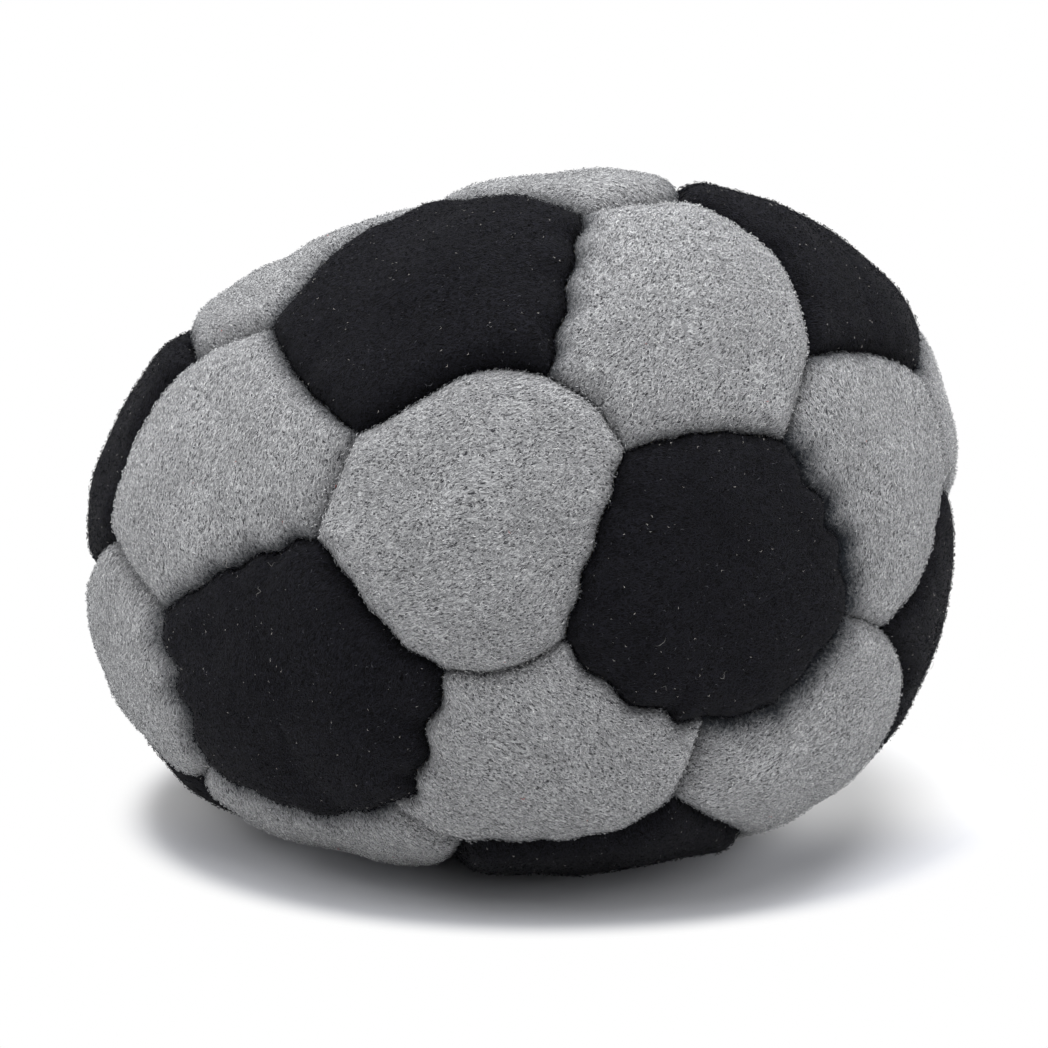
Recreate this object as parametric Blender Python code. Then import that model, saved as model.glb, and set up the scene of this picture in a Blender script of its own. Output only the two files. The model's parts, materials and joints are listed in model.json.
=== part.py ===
"""A hand-sewn footbag: twelve black and twenty grey suede panels sewn round a sand filling."""

import math
from itertools import combinations

import bpy
from mathutils import Vector

# The plump bag, measured from its middle to the seam lines.
HALF_WIDTH = 0.0305
HALF_DEPTH = 0.0265
HALF_HEIGHT = 0.029

# How far from the middle the settled bag has been pressed soft and flat.
BOTTOM_REACH = 0.02
LEFT_REACH = 0.0265
BACK_REACH = 0.02
RIGHT_REACH = 0.033
FRONT_REACH = 0.0285
RESTING_REACH = 0.0199

# One panel: suede folded over a soft shoulder into the seam.
SUEDE_THICKNESS = 0.0008
SEAM_GAP = 0.0003
CREASE_DEPTH = 0.0003
ROLL_WIDTH = 0.0006
ROLL_RISE = 0.00045
SHOULDER_WIDTH = 0.0017
SHOULDER_RISE = 0.0009
CROWN_RISE = 0.0012

# The turned-in edges of two sewn panels spread apart under the stitches.
ALLOWANCE_DEPTH = 0.0022
ALLOWANCE_SPREAD = 0.00075
ALLOWANCE_THICKNESS = 0.0007
THREAD_WIDTH = 0.00035
FILLING_GAP = 0.0003

CORNER_SHARE = 0.39
MIDDLE_RING_SHARE = 0.55
STITCH_DEPTH_SHARE = 0.68
BEND_SHARE = 0.33
NORMAL_STEP_SHARE = 0.01
STEPS_PER_SIDE = 3
SHARED_DIGITS = 2
PRESS_SHARPNESS = 5
SMOOTH_ANGLE = math.radians(50)

# Azimuth and elevation, in degrees, of each soft flat.
PRESSED_FLATS = (
    (0, -90, BOTTOM_REACH),
    (215, 35, LEFT_REACH),
    (100, 55, BACK_REACH),
    (-5, -15, RIGHT_REACH),
    (-40, 20, FRONT_REACH),
)

# Azimuth and elevation, in degrees, of the middle of each black panel.
BLACK_PANELS = {
    "upper_front": (-116, 52),
    "front_right": (-61, 8),
    "front_left": (-128, -10),
    "upper_right": (-2, 49),
    "right": (-4, -17),
    "left": (167, 7),
    "lower_front": (-76, -45),
    "lower_left": (155, -44),
    "upper_back": (105, 46),
    "back_right": (49, 5),
    "back_left": (107, -13),
    "lower_back": (51, -53),
}

# Hand-cut panels differ: these corners reach less, or more, of the way to the next black panel.
CORNER_SHARES = {
    ("upper_front", "left"): 0.42,
    ("front_right", "upper_right"): 0.37,
    ("front_right", "right"): 0.41,
    ("front_left", "upper_front"): 0.37,
    ("left", "front_left"): 0.37,
    ("upper_right", "front_right"): 0.42,
    ("right", "front_right"): 0.42,
    ("lower_front", "right"): 0.36,
    ("lower_front", "front_left"): 0.42,
}

MATERIALS = {
    "black_suede": ((0.012, 0.012, 0.014, 1), 0.95),
    "grey_suede": ((0.31, 0.313, 0.322, 1), 0.95),
    "sewing_thread": ((0.05, 0.05, 0.055, 1), 0.7),
    "sand": ((0.48, 0.38, 0.25, 1), 0.95),
}


def clear_scene():
    for old in list(bpy.data.objects):
        bpy.data.objects.remove(old, do_unlink=True)


def make_materials():
    for name, (colour, roughness) in MATERIALS.items():
        material = bpy.data.materials.new(name)
        material.use_nodes = True
        shader = material.node_tree.nodes["Principled BSDF"]
        shader.inputs["Base Color"].default_value = colour
        shader.inputs["Roughness"].default_value = roughness
        shader.inputs["Metallic"].default_value = 0


def direction_of(azimuth, elevation):
    turn = math.radians(azimuth)
    lift = math.radians(elevation)
    flat = math.cos(lift)
    return Vector((flat * math.cos(turn), flat * math.sin(turn), math.sin(lift)))


def seam_reach(direction):
    """How far the seam surface lies from the middle of the bag in one direction."""
    halves = (HALF_WIDTH, HALF_DEPTH, HALF_HEIGHT)
    reach = sum((part / half) ** 2 for part, half in zip(direction, halves)) ** -0.5
    pressing = 1
    for azimuth, elevation, flat_reach in PRESSED_FLATS:
        facing = direction.dot(direction_of(azimuth, elevation)) * reach
        pressing += (max(facing, 0) / flat_reach) ** PRESS_SHARPNESS
    return reach * pressing ** (-1 / PRESS_SHARPNESS)


def seam_point(direction):
    return direction * seam_reach(direction)


def outward_at(direction):
    """The outward normal of the seam surface."""
    across = direction.orthogonal().normalized() * NORMAL_STEP_SHARE
    up = direction.cross(across)
    spots = [seam_point((direction + step).normalized()) for step in (across, up, -across, -up)]
    return (spots[0] - spots[2]).cross(spots[1] - spots[3]).normalized()


def skin_point(direction, rise, inside=0):
    """A point so far above the seam surface, or that far inside the skin that is pressed on the table."""
    outward = outward_at(direction)
    point = seam_point(direction) + outward * rise
    if point.z < -RESTING_REACH:
        point.z = -RESTING_REACH
        outward = Vector((0, 0, -1))
    return point - outward * inside


def mixed(first, second, share):
    return (first * (1 - share) + second * share).normalized()


def ordered_round(middle, others, places):
    """The names of the neighbours of one black panel, counter-clockwise from outside."""
    across = middle.orthogonal().normalized()
    up = middle.cross(across)
    return sorted(others, key=lambda name: math.atan2(places[name].dot(up), places[name].dot(across)))


def black_places():
    return {name: direction_of(*angles) for name, angles in BLACK_PANELS.items()}


def corner_between(start, end):
    """The corner of the black panel called start that points at the one called end."""
    places = black_places()
    return mixed(places[start], places[end], CORNER_SHARES.get((start, end), CORNER_SHARE))


def panel_outlines():
    """Every panel by name, as the directions of its corners, counter-clockwise from outside."""
    places = black_places()
    near = {
        name: [other for other in places if other != name and place.dot(places[other]) > 0]
        for name, place in places.items()
    }
    outlines = {}
    for name, place in places.items():
        others = ordered_round(place, near[name], places)
        outlines["black_panel_" + name] = [corner_between(name, other) for other in others]
    trios = [
        trio for trio in combinations(places, 3)
        if all(other in near[name] for name, other in combinations(trio, 2))
    ]
    for number, (first, second, third) in enumerate(trios, 1):
        start = places[first]
        if (places[second] - start).cross(places[third] - start).dot(start) < 0:
            second, third = third, second
        sides = (first, second), (second, third), (third, first)
        corners = [corner_between(*ends) for side in sides for ends in (side, side[::-1])]
        outlines[f"grey_panel_{number:02d}"] = corners
    return outlines


def joined_seams():
    """Each grey-to-grey seam, by the black panels that its thread starts from and runs to."""
    places = black_places()
    pairs = [pair for pair in combinations(places, 2) if places[pair[0]].dot(places[pair[1]]) > 0]
    return [pair if number % 2 else pair[::-1] for number, pair in enumerate(pairs)]


def edge_samples(corners):
    """Places round a panel's edge, each with the step that leads inwards from its sides."""
    turned = corners[1:] + corners[:1]
    inward = [corner.cross(after).normalized() for corner, after in zip(corners, turned)]
    samples = []
    for number, corner in enumerate(corners):
        before, after = inward[number - 1], inward[number]
        samples.append((corner, (before + after) / (1 + before.dot(after))))
        for step in range(1, STEPS_PER_SIDE):
            following = corners[(number + 1) % len(corners)]
            samples.append((mixed(corner, following, step / STEPS_PER_SIDE), after))
    return samples


def edge_ring(samples, width, rise, inside=0):
    ring = []
    for place, inward in samples:
        direction = (place + inward * (width / seam_reach(place))).normalized()
        ring.append(skin_point(direction, rise, inside))
    return ring


def middle_ring(samples, middle, inside=0):
    ring = []
    for place, inward in samples:
        shoulder = (place + inward * (SHOULDER_WIDTH / seam_reach(place))).normalized()
        direction = mixed(middle, shoulder, MIDDLE_RING_SHARE)
        ring.append(skin_point(direction, (SHOULDER_RISE + CROWN_RISE) / 2, inside))
    return ring


def fan(centre, ring, outwards):
    turned = zip(ring, ring[1:] + ring[:1])
    return [(centre, a, b) if outwards else (centre, b, a) for a, b in turned]


def band(inner, outer):
    around = zip(inner, outer, outer[1:] + outer[:1], inner[1:] + inner[:1])
    return [corners for corners in around]


def new_piece(name, points, faces, material):
    """A mesh object whose own origin is in the middle of its points."""
    middle = sum(points, Vector()) / len(points)
    mesh = bpy.data.meshes.new(name)
    mesh.from_pydata([point - middle for point in points], [], faces)
    mesh.materials.append(bpy.data.materials[material])
    mesh.shade_smooth()
    mesh.set_sharp_from_angle(angle=SMOOTH_ANGLE)
    piece = bpy.data.objects.new(name, mesh)
    piece.location = middle
    bpy.context.scene.collection.objects.link(piece)
    return piece


def numbered(rings, start):
    """The point numbers of rings that are stored one after the other."""
    counts = []
    for ring in rings:
        counts.append(list(range(start, start + len(ring))))
        start += len(ring)
    return counts


def make_panel(name, corners):
    samples = edge_samples(corners)
    middle = sum(corners, Vector()).normalized()
    allowance_inside = ALLOWANCE_SPREAD + ALLOWANCE_THICKNESS
    rings = [
        middle_ring(samples, middle),
        edge_ring(samples, SHOULDER_WIDTH, SHOULDER_RISE),
        edge_ring(samples, ROLL_WIDTH, ROLL_RISE),
        edge_ring(samples, SEAM_GAP / 2, -CREASE_DEPTH),
        edge_ring(samples, ALLOWANCE_SPREAD, -ALLOWANCE_DEPTH),
        edge_ring(samples, allowance_inside, -ALLOWANCE_DEPTH),
        edge_ring(samples, allowance_inside, SHOULDER_RISE, SUEDE_THICKNESS),
        middle_ring(samples, middle, SUEDE_THICKNESS),
    ]
    points = [skin_point(middle, CROWN_RISE), skin_point(middle, CROWN_RISE, SUEDE_THICKNESS)]
    points += sum(rings, [])
    numbers = numbered(rings, 2)
    faces = fan(0, numbers[0], True)
    for inner, outer in zip(numbers, numbers[1:]):
        faces += band(inner, outer)
    faces += fan(1, numbers[-1], False)
    material = "black_suede" if name.startswith("black") else "grey_suede"
    return new_piece(name, points, faces, material)


def make_filling(outlines):
    """Sand that fills the bag, with a furrow under every seam for the turned-in edges."""
    inside = SUEDE_THICKNESS + FILLING_GAP
    lobe_edge = ALLOWANCE_SPREAD + ALLOWANCE_THICKNESS + 2 * FILLING_GAP
    furrow_depth = ALLOWANCE_DEPTH + FILLING_GAP
    points = []
    faces = []
    seam_numbers = {}
    for corners in outlines.values():
        samples = edge_samples(corners)
        middle = sum(corners, Vector()).normalized()
        rings = [
            middle_ring(samples, middle, inside),
            edge_ring(samples, lobe_edge, ROLL_RISE, inside),
            edge_ring(samples, lobe_edge, -furrow_depth),
        ]
        start = len(points)
        points.append(skin_point(middle, CROWN_RISE, inside))
        points += sum(rings, [])
        numbers = numbered(rings, start + 1)
        seam = []
        for (place, _), point in zip(samples, edge_ring(samples, 0, -furrow_depth)):
            key = tuple(round(part, SHARED_DIGITS) for part in place)
            if key not in seam_numbers:
                seam_numbers[key] = len(points)
                points.append(point)
            seam.append(seam_numbers[key])
        numbers.append(seam)
        faces += fan(start, numbers[0], True)
        for inner, outer in zip(numbers, numbers[1:]):
            faces += band(inner, outer)
    return new_piece("sand_filling", points, faces, "sand")


def thread_section(place, sideways):
    """Four corners of the thread where it passes one place of a seam."""
    half = THREAD_WIDTH / 2
    outward = outward_at(place)
    middle = seam_point(place) - outward * (ALLOWANCE_DEPTH * STITCH_DEPTH_SHARE)
    across = (sideways - outward * sideways.dot(outward)).normalized() * half
    up = outward * half
    return [middle + across + up, middle + across - up, middle - across - up, middle - across + up]


def thread_places(corners):
    """Where the thread round a black panel bends: both sides of each corner, and the places between."""
    samples = edge_samples(corners)
    count = len(samples)
    places = []
    for number, (place, inward) in enumerate(samples):
        if number % STEPS_PER_SIDE:
            places.append((place, inward, None))
            continue
        side = THREAD_WIDTH / seam_reach(place) / 2
        before, after = samples[number - 1], samples[(number + 1) % count]
        for beside in (before, after):
            step = (beside[0] - place).normalized() * side
            bend = (place + step - inward * (side * BEND_SHARE)).normalized()
            places.append((bend, inward.normalized(), number // STEPS_PER_SIDE))
    return places


def make_thread(name, corners, targets):
    """Thread round one black panel, with a branch along each grey-to-grey seam that it also closes."""
    places = thread_places(corners)
    sections = [thread_section(place, -sideways) for place, sideways, _ in places]
    points = sum(sections, [])
    faces = []
    branches = {}
    for number, (_, _, corner) in enumerate(places):
        following = (number + 1) % len(places)
        for side in range(4):
            low, high = side, (side + 1) % 4
            quad = (4 * number + low, 4 * number + high, 4 * following + high, 4 * following + low)
            on_corner = corner is not None and places[following][2] == corner
            if side == 0 and on_corner and corner in targets:
                branches[corner] = quad
            else:
                faces.append(quad)
    for corner, quad in branches.items():
        start, end = corners[corner], targets[corner]
        sideways = start.cross(end).normalized()
        stop = 1 - (THREAD_WIDTH + SEAM_GAP) / (seam_reach(end) * (end - start).length)
        last = list(quad)
        for step in range(1, STEPS_PER_SIDE + 1):
            section = thread_section(mixed(start, end, stop * step / STEPS_PER_SIDE), sideways)
            fresh = [len(points) + place for place in (3, 2, 1, 0)]
            points += section
            for side in range(4):
                after = (side + 1) % 4
                faces.append((last[side], last[after], fresh[after], fresh[side]))
            last = fresh
        faces.append(tuple(last))
    return new_piece(name, points, faces, "sewing_thread")


def make_threads(outlines):
    seams = joined_seams()
    for name in BLACK_PANELS:
        corners = outlines["black_panel_" + name]
        targets = {}
        for start, end in seams:
            if start == name:
                leaving = corner_between(start, end)
                corner = max(range(len(corners)), key=lambda number: corners[number].dot(leaving))
                targets[corner] = corner_between(end, start)
        make_thread("thread_" + name, corners, targets)


def stand_on_origin():
    """Moves every piece so that the bag stands on the origin, with its box centred over it."""
    bpy.context.view_layer.update()
    pieces = list(bpy.context.scene.collection.objects)
    spots = [piece.matrix_world @ vertex.co for piece in pieces for vertex in piece.data.vertices]
    low = Vector([min(spot[axis] for spot in spots) for axis in range(3)])
    high = Vector([max(spot[axis] for spot in spots) for axis in range(3)])
    middle = (low + high) / 2
    for piece in pieces:
        piece.location -= Vector((middle.x, middle.y, low.z))


def main():
    clear_scene()
    make_materials()
    outlines = panel_outlines()
    for name, corners in outlines.items():
        make_panel(name, corners)
    make_filling(outlines)
    make_threads(outlines)
    stand_on_origin()


main()
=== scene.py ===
# %% [markdown]
# # A hand-sewn footbag
#
# The bag is a ball of thirty-two suede panels, twelve black pentagons and twenty grey hexagons.
# They are sewn edge to edge from the inside, turned the right way out and filled with sand. The
# filling has slumped, so the ball rests flat and bulges to one side.
#
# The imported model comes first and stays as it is. Everything below is fabric, thread and sand
# that stands in for its plain solids, in the same place and at the same size.

import json
import math
from dataclasses import dataclass
from itertools import chain, combinations

import bmesh
import bpy
import numpy as np
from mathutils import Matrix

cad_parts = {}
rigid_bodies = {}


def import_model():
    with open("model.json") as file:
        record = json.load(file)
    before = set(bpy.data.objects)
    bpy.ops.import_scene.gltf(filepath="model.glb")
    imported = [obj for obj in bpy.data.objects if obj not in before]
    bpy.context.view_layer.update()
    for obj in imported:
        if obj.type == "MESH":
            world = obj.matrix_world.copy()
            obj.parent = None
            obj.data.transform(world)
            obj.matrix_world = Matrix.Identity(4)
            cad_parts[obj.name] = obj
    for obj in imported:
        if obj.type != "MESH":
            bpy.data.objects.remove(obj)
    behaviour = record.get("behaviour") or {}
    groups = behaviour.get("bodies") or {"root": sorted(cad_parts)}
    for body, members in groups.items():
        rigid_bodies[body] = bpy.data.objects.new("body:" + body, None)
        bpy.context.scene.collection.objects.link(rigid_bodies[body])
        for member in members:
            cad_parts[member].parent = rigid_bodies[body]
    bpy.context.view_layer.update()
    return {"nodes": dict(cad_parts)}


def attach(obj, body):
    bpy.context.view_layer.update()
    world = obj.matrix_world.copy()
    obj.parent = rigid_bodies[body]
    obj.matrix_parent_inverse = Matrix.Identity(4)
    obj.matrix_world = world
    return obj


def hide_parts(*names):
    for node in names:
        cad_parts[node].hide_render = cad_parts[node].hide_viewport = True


for old in list(bpy.data.objects):
    bpy.data.objects.remove(old, do_unlink=True)
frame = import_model()
print("packed nodes:", len(frame["nodes"]))

# %% [markdown]
# ## The surface that the seams lie on
#
# A round bag would be a sphere. This one was plump and is pressed soft and flat on several sides,
# so the seams lie on an ellipsoid whose reach is cut down by a few soft flats. A formula for the
# reach in any direction is enough: each panel is then drawn on it as finely as the light needs.

# %% How far the seams lie from the middle
BAG_MIDDLE = np.array((0.001014, 0.000112, 0.0199))
HALF_SIZES = np.array((0.0305, 0.0265, 0.029))
RESTING_REACH = 0.0199
PRESS_SHARPNESS = 5
NORMAL_STEP = 0.01
STEEP = 0.9
MILLIMETRES = 1000
# Azimuth and elevation in degrees, and how far from the middle each soft flat lies.
PRESSED_FLATS = (
    (0, -90, 0.02),
    (215, 35, 0.0265),
    (100, 55, 0.02),
    (-5, -15, 0.033),
    (-40, 20, 0.0285),
)


def direction_of(azimuth, elevation):
    turn = math.radians(azimuth)
    lift = math.radians(elevation)
    flat = math.cos(lift)
    return np.array((flat * math.cos(turn), flat * math.sin(turn), math.sin(lift)))


def unit(vectors):
    return vectors / np.linalg.norm(vectors, axis=-1, keepdims=True)


def seam_reach(directions):
    reach = ((directions / HALF_SIZES) ** 2).sum(axis=-1) ** -0.5
    pressing = np.ones_like(reach)
    for azimuth, elevation, flat_reach in PRESSED_FLATS:
        facing = directions @ direction_of(azimuth, elevation) * reach
        pressing += (np.maximum(facing, 0) / flat_reach) ** PRESS_SHARPNESS
    return reach * pressing ** (-1 / PRESS_SHARPNESS)


def seam_points(directions):
    return directions * seam_reach(directions)[..., None]


def outward_at(directions):
    """Normals of the seam surface, each from four points close round it."""
    upright = np.where(np.abs(directions[..., 2:]) < STEEP, (0, 0, 1), (1, 0, 0))
    across = unit(np.cross(directions, upright)) * NORMAL_STEP
    up = np.cross(directions, across)
    spots = [seam_points(unit(directions + step)) for step in (across, up, -across, -up)]
    return unit(np.cross(spots[0] - spots[2], spots[1] - spots[3]))


def skin_points(directions, rises, inside=0.0):
    """Points above the seam surface, pressed flat where the bag rests, then moved inside."""
    outward = outward_at(directions)
    points = seam_points(directions) + outward * np.asarray(rises)[..., None]
    resting = points[..., 2] < -RESTING_REACH
    points[..., 2] = np.where(resting, -RESTING_REACH, points[..., 2])
    outward = np.where(resting[..., None], (0, 0, -1), outward)
    return points - outward * inside


sample = seam_points(direction_of(0, 0))
print("reach to the right:", round(float(sample[0]) * MILLIMETRES, 1), "mm")

# %% [markdown]
# ## The layout of the panels
#
# Twelve black panels point in the directions of an icosahedron's corners, pulled about a little by
# the slump. Wherever three black panels are neighbours, a grey one lies between them. So every
# corner lies on the line between two neighbouring black panels, and the whole net of seams
# follows from twelve directions and one share. Each side of a panel keeps which seam it is sewn
# along, so that both panels of a seam can use one and the same line.

# %% Black panels, grey panels and the sides that they share
BLACK_PANELS = {
    "upper_front": (-116, 52),
    "front_right": (-61, 8),
    "front_left": (-128, -10),
    "upper_right": (-2, 49),
    "right": (-4, -17),
    "left": (167, 7),
    "lower_front": (-76, -45),
    "lower_left": (155, -44),
    "upper_back": (105, 46),
    "back_right": (49, 5),
    "back_left": (107, -13),
    "lower_back": (51, -53),
}
CORNER_SHARE = 0.39
# Hand-cut panels differ: these corners reach less, or more, of the way to the next black panel.
CORNER_SHARES = {
    ("upper_front", "left"): 0.42,
    ("front_right", "upper_right"): 0.37,
    ("front_right", "right"): 0.41,
    ("front_left", "upper_front"): 0.37,
    ("front_left", "lower_left"): 0.33,
    ("left", "front_left"): 0.36,
    ("left", "upper_front"): 0.375,
    ("upper_right", "front_right"): 0.42,
    ("right", "front_right"): 0.42,
    ("right", "lower_front"): 0.37,
    ("lower_front", "right"): 0.36,
    ("lower_front", "front_left"): 0.42,
    ("lower_left", "front_left"): 0.57,
}


@dataclass
class Side:
    """One side of a panel. Its seam is counted forward or back, and bulges out (1) or in (-1)."""

    start: np.ndarray
    end: np.ndarray
    seam: tuple
    forward: bool
    bulge: int

    def __post_init__(self):
        self.inward = unit(np.cross(self.start, self.end))
        self.ahead = np.cross(self.inward, self.start)
        self.angle = math.atan2(self.end @ self.ahead, self.end @ self.start)

    def place(self, share):
        turn = self.angle * share
        return math.cos(turn) * self.start + math.sin(turn) * self.ahead


def corner_between(start, end):
    share = CORNER_SHARES.get((start, end), CORNER_SHARE)
    return unit(black_places[start] * (1 - share) + black_places[end] * share)


def around(name):
    """The neighbours of a black panel, counter-clockwise from outside."""
    middle = black_places[name]
    across = unit(np.cross((0.0, 0.0, 1.0), middle))
    up = np.cross(middle, across)
    angles = {other: math.atan2(place @ up, place @ across)
              for other, place in black_places.items() if other != name and middle @ place > 0}
    return sorted(angles, key=angles.get)


def black_sides(name):
    others = around(name)
    turned = others[1:] + others[:1]
    return [
        Side(corner_between(name, a), corner_between(name, b), (name, a, b), True, 1)
        for a, b in zip(others, turned)
    ]


def grey_sides(first, second, third):
    """Sides of the grey panel between three black ones, which come counter-clockwise."""
    sides = []
    for a, b, c in ((first, second, third), (second, third, first), (third, first, second)):
        joint = tuple(sorted((a, b)))
        bulge = 1 if joint[0] == a else -1
        sides.append(Side(corner_between(a, b), corner_between(b, a), joint, bulge > 0, bulge))
        sides.append(Side(corner_between(b, a), corner_between(b, c), (b, c, a), False, -1))
    return sides


def grey_trios():
    trios = []
    for trio in combinations(black_places, 3):
        if all(black_places[a] @ black_places[b] > 0 for a, b in combinations(trio, 2)):
            first, second, third = (black_places[name] for name in trio)
            turns_left = np.cross(second - first, third - first) @ first > 0
            trios.append(trio if turns_left else (trio[0], trio[2], trio[1]))
    return trios


black_places = {name: direction_of(*angles) for name, angles in BLACK_PANELS.items()}
panels = {"black_panel_" + name: black_sides(name) for name in BLACK_PANELS}
for number, trio in enumerate(grey_trios(), 1):
    panels[f"grey_panel_{number:02d}"] = grey_sides(*trio)
in_model = sum(name in frame["nodes"] for name in panels)
print("panels:", len(panels), "of which", in_model, "are in the packed model")

# %% [markdown]
# ## Stitches and the line of each seam
#
# A hand-sewn seam isn't straight. Where the black suede gives more than the grey, the whole seam
# bows out over its neighbour, and between two stitches the filling pushes out a small scallop.
# The stitches of one seam are set out once, from a seed, and both panels read the same line. The
# shapes that the photograph shows are listed; seams that it doesn't show get a mild bow.

# %% Set out the stitches of every seam
STITCH_PITCH = 0.0033
STITCH_WANDER = 0.22
STITCH_SEED = 100
FEWEST_STEPS = 3
SCALLOP_DEPTHS = (0.00003, 0.0004)
SCALLOP_RANGE = (0.6, 1.3)
SCALLOP_ROUNDNESS = 1.7
MEAN_SCALLOP = 0.45
SETTLING = 4
GREY_WANDER_DEPTH = 0.0001
COMMON_BOW = 0.0006
BOW_WANDER = 0.0004
# Seams of a black panel between two of its neighbours: how far they bow out, or in if negative,
# how deep their scallops are, and how far they lean out over the half that comes first,
# counter-clockwise, and in over the other.
SEAM_SHAPES = {
    ("upper_front", "front_left", "front_right"): (-0.0011, 0.0, 0.0005),
    ("upper_front", "front_right", "upper_right"): (0.0001, 0.00032, 0.0),
    ("upper_front", "left", "front_left"): (0.0006, 0.0001, 0.0),
    ("upper_front", "upper_back", "left"): (0.0, 0.0, 0.0),
    ("upper_front", "upper_right", "upper_back"): (0.0, 0.00005, 0.0),
    ("front_right", "upper_front", "front_left"): (0.0002, 0.0003, 0.0),
    ("front_right", "upper_right", "upper_front"): (0.0007, 0.0001, 0.0),
    ("front_right", "right", "upper_right"): (0.0008, 0.0007, 0.0003),
    ("front_right", "lower_front", "right"): (0.0016, 0.0003, 0.0003),
    ("front_right", "front_left", "lower_front"): (0.0013, 0.0006, 0.0),
    ("front_left", "front_right", "upper_front"): (-0.0003, 0.0002, -0.0003),
    ("front_left", "lower_front", "front_right"): (0.0008, 0.0007, 0.0004),
    ("front_left", "upper_front", "left"): (0.0005, 0.0004, 0.0),
    ("front_left", "left", "lower_left"): (-0.0012, 0.0009, 0.0003),
    ("front_left", "lower_left", "lower_front"): (0.0016, 0.0005, -0.0002),
    ("upper_right", "upper_front", "front_right"): (-0.0026, 0.0001, 0.0),
    ("upper_right", "front_right", "right"): (-0.0005, 0.0001, 0.0),
    ("upper_right", "right", "back_right"): (0.0024, 0.0001, 0.0006),
    ("right", "upper_right", "front_right"): (-0.0013, 0.0001, 0.0),
    ("right", "front_right", "lower_front"): (-0.0029, 0.0001, 0.0),
    ("left", "front_left", "upper_front"): (-0.0015, 0.0001, 0.0),
    ("lower_front", "front_right", "front_left"): (-0.0011, 0.00025, -0.0003),
    ("lower_front", "right", "front_right"): (0.0003, 0.0001, 0.0),
    ("lower_left", "front_left", "left"): (0.0024, 0.0002, 0.0),
    ("lower_left", "lower_front", "front_left"): (0.0020, 0.0002, 0.0),
}
# Seams between two grey panels, by the black panels at their ends: how far they bow.
GREY_BOWS = {
    ("front_left", "front_right"): 0.0009,
    ("front_right", "upper_front"): 0.0006,
}


@dataclass
class Seam:
    """Stitch places along a seam as shares, and how far it swells between them and as a whole."""

    stitches: np.ndarray
    swells: np.ndarray
    settled: float
    bow: float
    lean: float


def set_out(number, side):
    rng = np.random.default_rng(STITCH_SEED + number)
    length = side.angle * float(seam_reach(side.place(0.5)))
    count = max(FEWEST_STEPS, round(length / STITCH_PITCH))
    between = np.arange(1, count) + rng.uniform(-STITCH_WANDER, STITCH_WANDER, count - 1)
    stitches = np.concatenate(([0], between / count, [1]))
    if len(side.seam) == 3:
        bow = COMMON_BOW + rng.uniform(-BOW_WANDER, BOW_WANDER)
        mild = (bow, rng.uniform(*SCALLOP_DEPTHS), 0.0)
        bow, depth, lean = SEAM_SHAPES.get(side.seam, mild)
        swells = depth * rng.uniform(*SCALLOP_RANGE, count)
        return Seam(stitches, swells, depth * MEAN_SCALLOP, bow, lean)
    swells = GREY_WANDER_DEPTH * rng.uniform(-1, 1, count)
    mild = rng.uniform(-BOW_WANDER, BOW_WANDER) / 2
    return Seam(stitches, swells, 0.0, GREY_BOWS.get(side.seam, mild), 0.0)


def wave_at(side, shares):
    """How far a seam swells at shares of a side, and how close each share is to a stitch."""
    seam = seams[side.seam]
    along = shares if side.forward else 1 - shares
    number = np.searchsorted(seam.stitches, along, side="right") - 1
    number = np.clip(number, 0, len(seam.swells) - 1)
    before, after = seam.stitches[number], seam.stitches[number + 1]
    arch = np.sin(np.pi * np.clip((along - before) / (after - before), 0, 1))
    whole = np.sin(np.pi * np.clip(along, 0, 1))
    wave = seam.swells[number] * arch**SCALLOP_ROUNDNESS
    wave += seam.bow * whole - seam.settled * np.minimum(1, SETTLING * whole)
    wave += seam.lean * np.sin(2 * np.pi * np.clip(along, 0, 1))
    return side.bulge * wave, (1 - arch) ** 2


seams = {}
for side in chain(*panels.values()):
    if side.seam not in seams:
        seams[side.seam] = set_out(len(seams), side)
stitch_count = sum(len(seam.swells) - 1 for seam in seams.values())
print("seams:", len(seams), "with", stitch_count, "stitches")
print("listed, but no seam:", [key for key in SEAM_SHAPES | GREY_BOWS if key not in seams])

# %% [markdown]
# ## One panel of suede
#
# A panel is a closed shell: a crowned outer face that rolls over a soft shoulder into the seam, a
# turned-in edge that runs down beside its neighbour's, and an inner face against the sand. It is
# drawn as rings from the middle to the seam. The rings crowd towards the seam, where the suede
# turns fastest. The height of each point comes from its distance to the nearest sides, added
# smoothly, so that the panel's corners have soft ridges. Near each stitch a pucker runs in.

# %% Heights of the outer face
SEAM_GAP = 0.0001
CREASE_DEPTH = 0.0004
SHOULDER_WIDTH = 0.0018
SHOULDER_RISE = 0.0006
SHOULDER_FULLNESS = 0.62
PUCKER_DEPTH = 0.00008
PUCKER_REACH = 0.0011
CORNER_SOFTNESS = 5
DENT_DEPTH = 0.00004
DENT_LENGTHS = (0.004, 0.011)
DENT_WAVES = 14
DENT_SEED = 7
LEAST_DISTANCE = 1e-6


def dents(points):
    """A slow, uneven swell all over the bag, as loose sand gives."""
    rng = np.random.default_rng(DENT_SEED)
    height = np.zeros(points.shape[:-1])
    for _ in range(DENT_WAVES):
        heading = unit(rng.normal(size=3)) * 2 * math.pi / rng.uniform(*DENT_LENGTHS)
        height += np.sin(points @ heading + rng.uniform(0, 2 * math.pi))
    return height * DENT_DEPTH


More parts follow.
